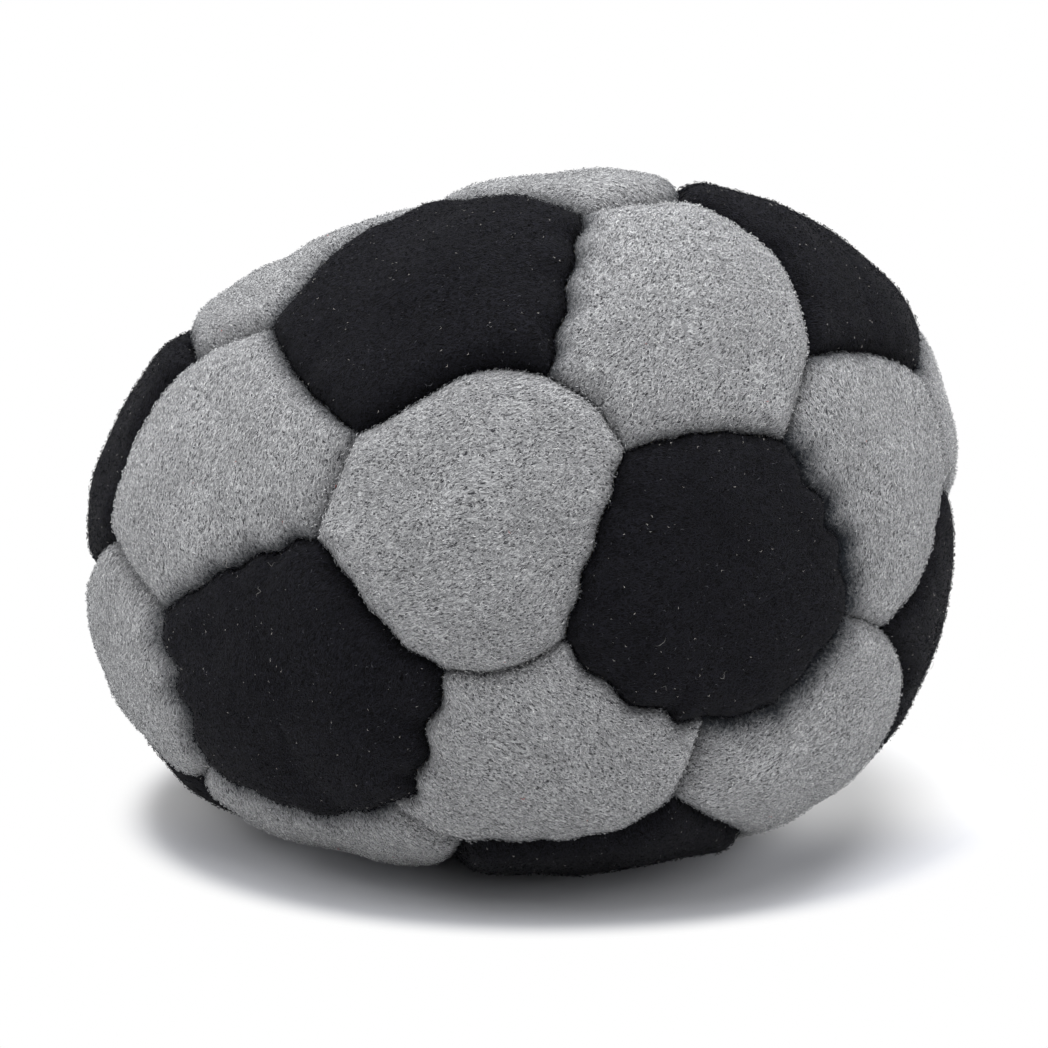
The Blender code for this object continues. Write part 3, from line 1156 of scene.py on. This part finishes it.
def build_spindle(tree, cuts, length, width, bend):
    """A closed, bent fibre that stands on the origin and tapers to a point at both ends."""
    end = joined_vector(tree, 0.0, 0.0, length)
    line = add_node(tree, "GeometryNodeCurvePrimitiveLine", {"End": end})
    cut = add_node(tree, "GeometryNodeSubdivideCurve", {"Curve": line, "Cuts": cuts})
    along = add_node(tree, "GeometryNodeSplineParameter")
    taper = math_node(tree, "SINE", math_node(tree, "MULTIPLY", along, math.pi))
    sideways = math_node(tree, "MULTIPLY", taper, bend)
    curl = math_node(tree, "SINE", math_node(tree, "MULTIPLY", along, CURL_TURNS * 2 * math.pi))
    curl = math_node(tree, "MULTIPLY", curl, math_node(tree, "MULTIPLY", sideways, CURL_SHARE))
    bent = moved(tree, cut, Offset=joined_vector(tree, sideways, curl, 0.0))
    ring = ring_of(tree, FIBRE_SIDES, width)
    inputs = {"Curve": bent, "Profile Curve": ring, "Scale": taper}
    tube = add_node(tree, "GeometryNodeCurveToMesh", inputs)
    inputs = {"Geometry": tube, "Distance": TIP_JOIN}
    return add_node(tree, "GeometryNodeMergeByDistance", inputs)


def finish_tree(tree, geometry, given, made):
    """The last steps of every tree: real geometry, nothing under the table, and its material."""
    real = add_node(tree, "GeometryNodeRealizeInstances", {"Geometry": geometry})
    position = add_node(tree, "GeometryNodeInputPosition")
    place = add_node(tree, "ShaderNodeSeparateXYZ", {0: position}).outputs
    above = math_node(tree, "MAXIMUM", place["Z"], 0.0)
    pressed = moved(tree, real, Position=joined_vector(tree, place["X"], place["Y"], above))
    inputs = {"Geometry": pressed, "Material": given["Material"]}
    feed(tree, made, {"Geometry": add_node(tree, "GeometryNodeSetMaterial", inputs)})
    return tree


def build_nap_tree(name, cuts):
    inputs = (
        ("Geometry", "Geometry"),
        ("Fibres per Square Metre", "Float", 20e6),
        ("Seed", "Int", 0),
        ("Length", "Float", 0.0004),
        ("Width", "Float", 0.00006),
        ("Bend", "Float", 0.0001),
        ("Disorder", "Float", 1.0),
        ("Lift", "Float", 0.3),
        ("Growth at Seams", "Float", 0.0),
        ("Lint Shortness", "Float", 0.0),
        ("Material", "Material"),
    )
    tree, given, made = new_tree("GeometryNodeTree", name, inputs, {"Geometry": "Geometry"})
    seed = given["Seed"]
    density = math_node(tree, "MULTIPLY", named(tree, "cover"), given["Fibres per Square Metre"])
    inputs = {"Mesh": given["Geometry"], "Density": density, "Seed": seed}
    points = add_node(tree, "GeometryNodeDistributePointsOnFaces", inputs)
    normal = points.outputs["Normal"]
    stray = vector_math(tree, "SCALE", random_vector(tree, seed), given["Disorder"])
    lying = vector_math(tree, "ADD", named(tree, "lean", "FLOAT_VECTOR"), stray)
    level = vector_math(tree, "SUBTRACT", lying, vector_math(tree, "PROJECT", lying, normal))
    level = vector_math(tree, "NORMALIZE", level)
    lift = random_number(tree, 0.0, given["Lift"], seed, 1.0)
    way = vector_math(tree, "ADD", level, vector_math(tree, "SCALE", normal, lift))
    aimed = add_node(tree, "FunctionNodeAlignRotationToVector", {"Vector": way}, axis="Z")
    inputs = {"Axis": (0, 0, 1), "Angle": random_number(tree, 0.0, 2 * math.pi, seed, 2.0)}
    roll = add_node(tree, "FunctionNodeAxisAngleToRotation", inputs)
    inputs = {0: aimed, 1: roll}
    rolled = add_node(tree, "FunctionNodeRotateRotation", inputs, rotation_space="LOCAL")
    nearness = named(tree, "seam_nearness")
    growth = math_node(tree, "MULTIPLY_ADD", nearness, given["Growth at Seams"], 1.0)
    size = math_node(tree, "MULTIPLY", random_number(tree, *FIBRE_SIZES, seed, 3.0), growth)
    tone = random_number(tree, 0.0, 1.0, seed, 4.0)
    short = math_node(tree, "GREATER_THAN", tone, LINT_SHORT_FROM)
    short = math_node(tree, "MULTIPLY", short, given["Lint Shortness"])
    size = math_node(tree, "MULTIPLY", size, math_node(tree, "SUBTRACT", 1.0, short))
    spread = add_node(tree, "GeometryNodeInstanceOnPoints", {
        "Points": points,
        "Instance": build_spindle(tree, cuts, given["Length"], given["Width"], given["Bend"]),
        "Rotation": rolled,
        "Scale": joined_vector(tree, size, size, size),
    })
    inputs = {"Geometry": spread, "Name": "tone", "Value": tone}
    toned = add_node(tree, "GeometryNodeStoreNamedAttribute", inputs, domain="INSTANCE")
    return finish_tree(tree, toned, given, made)


nap_tree = build_nap_tree("scattered_nap", 1)
print("nap tree nodes:", len(nap_tree.nodes))

# %% Grow the nap
FIBRE_FACES = 6
CELL_PARTS = (3, 2)
FACE_CORNERS = ((0.1, 0.1), (0.9, 0.1), (0.1, 0.9))
FIBRE_INPUTS = ("Fibres per Square Metre", "Length", "Width", "Bend", "Disorder", "Lift",
                "Growth at Seams", "Lint Shortness")
NAPS = {
    "grey": (29e6, 0.00031, 0.00005, 0.00008, 0.8, 0.45, 0.0, 0.0),
    "black": (18e6, 0.00026, 0.00005, 0.00008, 1.1, 0.45, 0.8, 0.35),
}
# The colours of fibres, and the tones from which a fibre is dusty or a bit of lint.
FIBRE_TONES = {
    "grey": {
        "Dark": (0.24, 0.243, 0.252, 1),
        "Pale": (0.67, 0.675, 0.69, 1),
        "Dusty": (0.74, 0.74, 0.74, 1),
        "Lint": (0.45, 0.07, 0.05, 1),
        "Dusty From": 0.96,
        "Lint From": 0.9997,
    },
    "black": {
        "Dark": (0.0005, 0.0005, 0.0008, 1),
        "Pale": (0.017, 0.0175, 0.0245, 1),
        "Dusty": (0.07, 0.071, 0.08, 1),
        "Lint": (0.5, 0.48, 0.46, 1),
        "Dusty From": 0.93,
        "Lint From": 0.98,
    },
}
FIBRE_ROUGHNESS = 0.9


def made_by_nodes(name, mesh, tree, settings):
    """The plain mesh that a Geometry Nodes tree makes on a mesh, as a piece of its own."""
    piece = add_piece(name, mesh)
    modifier = piece.modifiers.new(tree.name, "NODES")
    modifier.node_group = tree
    for item in tree.interface.items_tree:
        if item.name in settings:
            modifier[item.identifier] = settings[item.name]
    piece.update_tag()
    grown = piece.evaluated_get(bpy.context.evaluated_depsgraph_get())
    whole = bpy.data.meshes.new_from_object(grown)
    piece.modifiers.clear()
    piece.data = whole
    whole.name = name
    return piece


def lay_out_fibres(mesh):
    """A map for baking: each fibre has a cell of its own, and each of its faces a part of it."""
    fibre, face = np.divmod(np.arange(len(mesh.polygons)), FIBRE_FACES)
    side = math.ceil(math.sqrt(fibre[-1] + 1))
    columns, rows = CELL_PARTS
    cells = np.stack((fibre % side, fibre // side), axis=1)
    cells = cells + np.stack((face % columns / columns, face // columns / rows), axis=1)
    places = (cells[:, None, :] + np.array(FACE_CORNERS)[None] / CELL_PARTS) / side
    layer = mesh.uv_layers.new(name="OFBake")
    layer.uv.foreach_set("vector", places.astype(np.float32).ravel())


def build_fibre_group():
    """A fibre's colour by its own random tone: most are plain, some are dusty, a few are lint."""
    group, given, made = new_tree(
        "ShaderNodeTree",
        "fibre_tones",
        (
            ("Tone", "Float", 0.5),
            ("Dark", "Color", (0, 0, 0, 1)),
            ("Pale", "Color", (1, 1, 1, 1)),
            ("Dusty", "Color", (1, 1, 1, 1)),
            ("Lint", "Color", (1, 1, 1, 1)),
            ("Dusty From", "Float", 0.97),
            ("Lint From", "Float", 0.99),
        ),
        {"Colour": "Color"},
    )
    colour = blend(group, given["Tone"], given["Dark"], given["Pale"])
    for label in ("Dusty", "Lint"):
        picked = math_node(group, "GREATER_THAN", given["Tone"], given[label + " From"])
        colour = blend(group, picked, colour, given[label])
    feed(group, made, {"Colour": colour})
    return group


def make_nap_material(kind):
    material, tree, shader = new_material(kind + "_nap_fibres")
    inputs = FIBRE_TONES[kind] | {"Tone": attribute_of(tree, "tone")}
    # The grey fibres get the same black dye and painted shade beside the black panels.
    feed(tree, shader, {
        "Base Color": smudged_and_shaded(tree, kind, from_group(tree, fibre_group, inputs)),
        "Roughness": FIBRE_ROUGHNESS,
        "Specular IOR Level": SHINES[kind],
    })
    return material


fibre_group = build_fibre_group()
nap_materials = {kind: make_nap_material(kind) for kind in NAPS}
fibre_count = 0
for number, (name, piece) in enumerate(suede_pieces.items()):
    kind = name.split("_")[0]
    settings = dict(zip(FIBRE_INPUTS, NAPS[kind]))
    settings |= {"Seed": number * 10, "Material": nap_materials[kind]}
    nap = made_by_nodes("nap_" + name, piece.data, nap_tree, settings)
    lay_out_fibres(nap.data)
    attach(nap, "root")
    fibre_count += len(nap.data.polygons) // FIBRE_FACES
print("fibres:", fibre_count)

# %% [markdown]
# ## Stray hairs
#
# A used footbag picks up hairs and lint, and they show best on the black suede. They are made by
# the same tree as the nap, with far fewer and longer fibres that are cut into more steps, so that
# they can curl.

# %% Scatter stray hairs
HAIR_CUTS = 9
HAIR_SEED = 5
HAIRS = {
    "grey": (0.006e6, 0.0009, 0.000025, 0.00025, 1.5, 0.7, 0.0, 0.0),
    "black": (0.007e6, 0.0008, 0.000022, 0.0002, 1.5, 0.5, 0.0, 0.0),
}
HAIR_COLOURS = ((0.18, 0.175, 0.17, 1), (0.36, 0.35, 0.34, 1))
HAIR_ROUGHNESS = 0.6


def joined_panels(kind):
    """All panels of one suede as one mesh, with their attributes."""
    whole = bmesh.new()
    for name, piece in suede_pieces.items():
        if name.startswith(kind):
            whole.from_mesh(piece.data)
    mesh = bpy.data.meshes.new(kind + "_panels")
    whole.to_mesh(mesh)
    whole.free()
    return mesh


def make_hair_material():
    material, tree, shader = new_material("stray_hair")
    colour = blend(tree, attribute_of(tree, "tone"), *HAIR_COLOURS)
    feed(tree, shader, {"Base Color": colour, "Roughness": HAIR_ROUGHNESS})
    return material


hair_tree = build_nap_tree("stray_hairs", HAIR_CUTS)
hair_material = make_hair_material()
for kind, values in HAIRS.items():
    settings = dict(zip(FIBRE_INPUTS, values)) | {"Seed": HAIR_SEED, "Material": hair_material}
    hairs = made_by_nodes(f"stray_hairs_on_{kind}", joined_panels(kind), hair_tree, settings)
    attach(hairs, "root")
    print("faces of hairs on", kind, "suede:", len(hairs.data.polygons))

# %% [markdown]
# ## The thread in the seams
#
# One waxed thread sews each black panel in, and runs on along the seams between the grey panels
# around it. It lies below the surface, between the turned-in edges, so only a gap in a seam would
# show it. Geometry Nodes twist it from two plies along the same wavy line that the panels share.

# %% The lines that the threads follow
THREAD_DEPTH = 0.0015
THREAD_POINTS = 24
BRANCH_ENDS = (0.06, 0.94)


def seam_line(side, shares):
    """Points along a side's wavy seam, at the depth of the thread."""
    waves, _ = wave_at(side, shares)
    places = []
    for share, wave in zip(shares, waves):
        place = side.place(share)
        places.append(unit(place - side.inward * (wave / float(seam_reach(place)))))
    return skin_points(np.array(places), np.full(len(places), -THREAD_DEPTH))


def thread_lines(name):
    """Points and edges of the loop round a black panel, and of the seams that run on from it."""
    shares = np.arange(THREAD_POINTS) / THREAD_POINTS
    loop = np.concatenate([seam_line(side, shares) for side in panels["black_panel_" + name]])
    points = [loop]
    edges = [(step, (step + 1) % len(loop)) for step in range(len(loop))]
    count = len(loop)
    for side in thread_branches[name]:
        points.append(seam_line(side, np.linspace(*BRANCH_ENDS, THREAD_POINTS)))
        edges += [(count + step, count + step + 1) for step in range(THREAD_POINTS - 1)]
        count += THREAD_POINTS
    return np.concatenate(points), edges


def branches_of_threads():
    """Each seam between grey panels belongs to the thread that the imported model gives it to."""
    pairs = [(a, b) for a, b in combinations(BLACK_PANELS, 2)
             if black_places[a] @ black_places[b] > 0]
    owners = {tuple(sorted(pair)): pair[1 - number % 2] for number, pair in enumerate(pairs)}
    branches = {name: [] for name in BLACK_PANELS}
    drawn = set()
    for side in chain(*panels.values()):
        if side.seam in owners and side.seam not in drawn:
            drawn.add(side.seam)
            branches[owners[side.seam]].append(side)
    return branches


thread_branches = branches_of_threads()
print("seams run on from each thread:", [len(sides) for sides in thread_branches.values()])

# %% Two twisted plies
PLY_INPUTS = (
    ("Ply Width", "Float", 0.00017),
    ("Twist Length", "Float", 0.002),
    ("Step", "Float", 0.00028),
)
PLY_SIDES = 5
PLY_APART = 0.48


def build_thread_tree():
    inputs = (("Geometry", "Geometry"), *PLY_INPUTS, ("Material", "Material"))
    outputs = {"Geometry": "Geometry"}
    tree, given, made = new_tree("GeometryNodeTree", "two_ply_thread", inputs, outputs)
    curve = add_node(tree, "GeometryNodeMeshToCurve", {"Mesh": given["Geometry"]})
    inputs = {"Curve": curve, "Length": given["Step"]}
    fine = add_node(tree, "GeometryNodeResampleCurve", inputs, mode="LENGTH")
    ring = ring_of(tree, PLY_SIDES, given["Ply Width"])
    length = add_node(tree, "GeometryNodeSplineLength")
    turns = math_node(tree, "DIVIDE", length, given["Twist Length"])
    turns = math_node(tree, "ROUND", turns)
    along = add_node(tree, "GeometryNodeSplineParameter")
    turned = math_node(tree, "MULTIPLY", math_node(tree, "MULTIPLY", along, turns), 2 * math.pi)
    normal = add_node(tree, "GeometryNodeInputNormal")
    tangent = add_node(tree, "GeometryNodeInputTangent")
    beside = vector_math(tree, "CROSS_PRODUCT", tangent, normal)
    apart = math_node(tree, "MULTIPLY", given["Ply Width"], PLY_APART)
    joined = add_node(tree, "GeometryNodeJoinGeometry")
    for phase in (0.0, math.pi):
        angle = math_node(tree, "ADD", turned, phase)
        out = vector_math(tree, "SCALE", normal, math_node(tree, "COSINE", angle))
        aside = vector_math(tree, "SCALE", beside, math_node(tree, "SINE", angle))
        offset = vector_math(tree, "SCALE", vector_math(tree, "ADD", out, aside), apart)
        wound = moved(tree, fine, Offset=offset)
        inputs = {"Curve": wound, "Profile Curve": ring, "Fill Caps": True}
        feed(tree, joined, {"Geometry": add_node(tree, "GeometryNodeCurveToMesh", inputs)})
    return finish_tree(tree, joined, given, made)


# %% Waxed thread, and the threads
THREAD_COLOURS = ((0.018, 0.018, 0.021, 1), (0.075, 0.075, 0.082, 1))
THREAD_FINENESS = 9.0
THREAD_LEVELS = (0.35, 0.65)
WEAR_FINENESS = 1.2
WEAR_ROUGHNESS = (0.3, 0.45)


def make_thread_material():
    material, tree, shader = new_material("waxed_thread")
    place = in_millimetres(tree)
    strands = stretch(tree, noise(tree, place, THREAD_FINENESS), *THREAD_LEVELS)
    worn = noise(tree, place, WEAR_FINENESS)
    feed(tree, shader, {
        "Base Color": blend(tree, strands, *THREAD_COLOURS),
        "Roughness": math_node(tree, "MULTIPLY_ADD", worn, *WEAR_ROUGHNESS),
    })
    return material


thread_tree = build_thread_tree()
thread_settings = {label: value for label, _, value in PLY_INPUTS}
thread_settings["Material"] = make_thread_material()
threads = []
for name in BLACK_PANELS:
    points, edges = thread_lines(name)
    mesh = new_mesh("twisted_thread_" + name, points + BAG_MIDDLE, edges)
    thread = made_by_nodes("twisted_thread_" + name, mesh, thread_tree, thread_settings)
    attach(thread, "root")
    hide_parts("thread_" + name)
    threads.append(thread)
print("faces of threads:", sum(len(thread.data.polygons) for thread in threads))

# %% [markdown]
# ## The sand
#
# The filling pushes a lobe into every panel, with a furrow under each seam where the turned-in
# edges stand. A sphere of directions is enough: each point asks the panel it looks at how high the
# skin is there, and stays a suede's thickness and a small gap below it.

# %% The shape of the filling
SAND_DIVISIONS = 6
SAND_UNDER_SKIN = SUEDE_THICKNESS + 0.0003
FURROW_DEPTH = 0.0027
FURROW_FLOOR = 0.0017
FURROW_WALL = 0.0014


def panel_seen(directions):
    """For each direction, its panel's number: the one whose nearest side is farthest inwards."""
    depths = [np.min([directions @ side.inward for side in sides], axis=0)
              for sides in panels.values()]
    return np.argmax(depths, axis=0)


def filling_points(directions):
    points = skin_points(directions, np.full(len(directions), -FURROW_DEPTH))
    seen = panel_seen(directions)
    for number, sides in enumerate(panels.values()):
        chosen = np.flatnonzero(seen == number)
        here = directions[chosen]
        distances, _ = side_distances(here, sides)
        share = np.clip((nearest_of(distances) - FURROW_FLOOR) / FURROW_WALL, 0, 1)
        share = (share * share * (3 - 2 * share))[:, None]
        lobe = skin_points(here, skin_rises(here, sides, 0), SAND_UNDER_SKIN)
        points[chosen] = points[chosen] * (1 - share) + lobe * share
    return points


# %% Grains of sand
GRAINS_PER_MM = 3.0
GRAIN_COLOURS = ((0.2, 0.13, 0.07, 1), (0.5, 0.38, 0.24, 1), (0.78, 0.7, 0.56, 1))
TAN_TONES = (0.0, 0.5)
PALE_TONES = (0.6, 1.0)
BETWEEN_GRAINS = (0.45, 0.8)
BETWEEN_SHADE = 0.7
GRAIN_ROUGHNESS = (0.4, 0.45)
GRAIN_RELIEF = 0.0001


def make_sand_material():
    material, tree, shader = new_material("loose_sand")
    inputs = {"Vector": in_millimetres(tree), "Scale": GRAINS_PER_MM}
    grains = add_node(tree, "ShaderNodeTexVoronoi", inputs).outputs
    tones = add_node(tree, "ShaderNodeSeparateColor", {"Color": grains["Color"]}).outputs
    brown, tan, pale = GRAIN_COLOURS
    colour = blend(tree, stretch(tree, tones[0], *TAN_TONES), brown, tan)
    colour = blend(tree, stretch(tree, tones[0], *PALE_TONES), colour, pale)
    between = stretch(tree, grains["Distance"], *BETWEEN_GRAINS)
    between = math_node(tree, "MULTIPLY", between, BETWEEN_SHADE)
    inputs = {"Distance": GRAIN_RELIEF, "Height": grains["Distance"]}
    feed(tree, shader, {
        "Base Color": blend(tree, between, colour, brown),
        "Roughness": math_node(tree, "MULTIPLY_ADD", tones[1], *GRAIN_ROUGHNESS),
        "Normal": add_node(tree, "ShaderNodeBump", inputs, invert=True),
    })
    return material


def make_filling():
    ball = bmesh.new()
    bmesh.ops.create_icosphere(ball, subdivisions=SAND_DIVISIONS, radius=1)
    mesh = bpy.data.meshes.new("loose_sand")
    ball.to_mesh(mesh)
    ball.free()
    points = filling_points(unit(points_of(mesh).astype(float))) + BAG_MIDDLE
    mesh.vertices.foreach_set("co", points.astype(np.float32).ravel())
    mesh.shade_smooth()
    mesh.materials.append(make_sand_material())
    filling = add_piece("loose_sand", mesh)
    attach(filling, "root")
    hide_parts("sand_filling")
    return filling


filling = make_filling()
print("faces of the filling:", len(filling.data.polygons))

# %% [markdown]
# ## Floor, light and camera
#
# The bag stands on a white sheet between large soft lamps: two above it, in front and behind, one
# high on the left and one low on each side. They are as bright as makes a colour come out about as
# it is written. The sheet keeps the bag's shadow and fades to plain white just outside it, which
# only the camera sees, so that no more light falls on the bag. For the camera it also carries a
# painted shadow in front of the bag and a painted light under the bag's right side.

# %% The white sheet and the white room
SHEET_SIDE = 6
SHEET_DROP = 0.00002
SHEET_COLOUR = (0.8, 0.8, 0.8, 1)
# Painted shadow: the camera sees the sheet darker in front of the bag than behind it, and between
# these depths it turns from one to the other.
SHEET_FOR_CAMERA = ((0.75, 0.76, 0.8, 1), (0.99, 0.99, 1, 1))
SHEET_DEPTHS = (-0.009, 0.002)
# The shadow ends in half an oval on each side of its middle: their widths as shares of the depth,
# and how far in front of the middle it starts to fade and has gone.
SHADOW_MIDDLE = 0.001
SHADOW_WIDTHS = {"MINIMUM": 1.19, "MAXIMUM": 1.34}
SHADOW_FADE = (0.0215, 0.0248)
# Painted light: under the right side of the bag the camera sees the sheet fade part way to white,
# as if light came in from the side and from behind.
LIT_TO_THE_RIGHT = (0.012, 0.02)
LIT_BEHIND = (-0.0115, 0.002)
LIT_SHARE = 0.35
ROOM_COLOUR = (1, 1, 1, 1)
ROOM_LIGHT = 0.05
LAMP_SIZE = 0.5
LAMPS = {
    "lamp_above": ((0.0, -0.1, 0.55), 1.75),
    "lamp_behind": ((0.02, 0.15, 0.5), 3.4),
    "lamp_high_left": ((-0.3, -0.1, 0.45), 1.1),
    "lamp_left": ((-0.5, -0.15, 0.25), 1.0),
    "lamp_right": ((0.5, -0.15, 0.25), 1.7),
}


def seen_by_camera(tree, for_light, for_camera):
    """One number for what the camera sees directly, another for every other ray."""
    path = add_node(tree, "ShaderNodeLightPath").outputs["Is Camera Ray"]
    inputs = {0: path, 2: for_light, 3: for_camera}
    return add_node(tree, "ShaderNodeMix", inputs, data_type="FLOAT")


def shadow_reach(tree, place):
    """How far a point of the sheet lies from the shadow's middle, counted as in front of it."""
    across = math_node(tree, "SUBTRACT", place["X"], SHADOW_MIDDLE)
    halves = [math_node(tree, "DIVIDE", math_node(tree, half, across, 0.0), width)
              for half, width in SHADOW_WIDTHS.items()]
    offset = joined_vector(tree, math_node(tree, "ADD", *halves), place["Y"], 0.0)
    return vector_math(tree, "LENGTH", offset).outputs["Value"]


def make_sheet():
    half = SHEET_SIDE / 2
    corners = [(-half, -half, 0), (half, -half, 0), (half, half, 0), (-half, half, 0)]
    sheet = add_piece("white_sheet", new_mesh("white_sheet", corners, faces=[(0, 1, 2, 3)]))
    sheet.location.z = -SHEET_DROP
    material, tree, shader = new_material("white_sheet")
    tree.nodes.remove(shader)
    coordinates = add_node(tree, "ShaderNodeTexCoord").outputs["Object"]
    place = add_node(tree, "ShaderNodeSeparateXYZ", {0: coordinates}).outputs
    # Painted shadow: for the camera the sheet is darker in front of the bag.
    for_camera = blend(tree, stretch(tree, place["Y"], *SHEET_DEPTHS), *SHEET_FOR_CAMERA)
    colour = blend(tree, seen_by_camera(tree, 0.0, 1.0), SHEET_COLOUR, for_camera)
    outside = stretch(tree, shadow_reach(tree, place), *SHADOW_FADE)
    # Painted light on the sheet under the right side of the bag, for the camera only.
    on_right = stretch(tree, place["X"], *LIT_TO_THE_RIGHT)
    behind = stretch(tree, place["Y"], *LIT_BEHIND)
    painted_light = math_node(tree, "MULTIPLY", math_node(tree, "MULTIPLY", on_right, behind), LIT_SHARE)
    mixed = add_node(tree, "ShaderNodeMixShader", {
        "Fac": seen_by_camera(tree, 0.0, math_node(tree, "MAXIMUM", outside, painted_light)),
        1: add_node(tree, "ShaderNodeBsdfDiffuse", {"Color": colour}),
        2: add_node(tree, "ShaderNodeEmission"),
    })
    feed(tree, tree.nodes["Material Output"], {"Surface": mixed})
    sheet.data.materials.append(material)


def make_room():
    world = bpy.data.worlds.new("white_room")
    bpy.context.scene.world = world
    world.use_nodes = True
    tree = world.node_tree
    light = seen_by_camera(tree, ROOM_LIGHT, 1.0)
    feed(tree, tree.nodes["Background"], {"Color": ROOM_COLOUR, "Strength": light})


def make_lamp(name, place, power):
    lamp = bpy.data.lights.new(name, "AREA")
    lamp.shape = "DISK"
    lamp.size = LAMP_SIZE
    lamp.energy = power
    holder = bpy.data.objects.new(name, lamp)
    holder.location = place
    aim = bpy.data.objects["white_sheet"].location - holder.location
    holder.rotation_euler = aim.to_track_quat("-Z", "Y").to_euler()
    bpy.context.scene.collection.objects.link(holder)


make_sheet()
make_room()
for name, (place, power) in LAMPS.items():
    make_lamp(name, place, power)
print("lamps:", len(LAMPS))

# %% [markdown]
# ### The camera
#
# The photograph looks down on the bag a little, from a third of a metre away. The lens comes from
# how large the bag shows, and a small shift puts it where it stands in the picture.

# %% The camera
CAMERA_LIFT = math.radians(17)
CAMERA_DISTANCE = 0.33
PICTURE_SIDE = 1048
PIXELS_PER_METRE = 14900
SENSOR_WIDTH = 36
MIDDLE_IN_PICTURE = (537.0, 525.7)
NEAREST_SEEN = 0.01


def make_camera():
    data = bpy.data.cameras.new("camera")
    camera = bpy.data.objects.new("camera", data)
    bpy.context.scene.collection.objects.link(camera)
    back = np.array((0, -math.cos(CAMERA_LIFT), math.sin(CAMERA_LIFT)))
    camera.location = BAG_MIDDLE + back * CAMERA_DISTANCE
    camera.rotation_euler = (math.pi / 2 - CAMERA_LIFT, 0, 0)
    data.sensor_width = SENSOR_WIDTH
    data.lens = PIXELS_PER_METRE * CAMERA_DISTANCE * SENSOR_WIDTH / PICTURE_SIDE
    data.shift_x = (PICTURE_SIDE / 2 - MIDDLE_IN_PICTURE[0]) / PICTURE_SIDE
    data.shift_y = (MIDDLE_IN_PICTURE[1] - PICTURE_SIDE / 2) / PICTURE_SIDE
    data.clip_start = NEAREST_SEEN
    bpy.context.scene.camera = camera
    return camera


camera = make_camera()
bpy.context.scene.view_settings.view_transform = "Standard"
print("lens:", round(camera.data.lens, 1), "mm")

# %% [markdown]
# ## The end

# The dressed bag has to fill the same space as the imported model.

# %% Finish
bpy.context.view_layer.update()
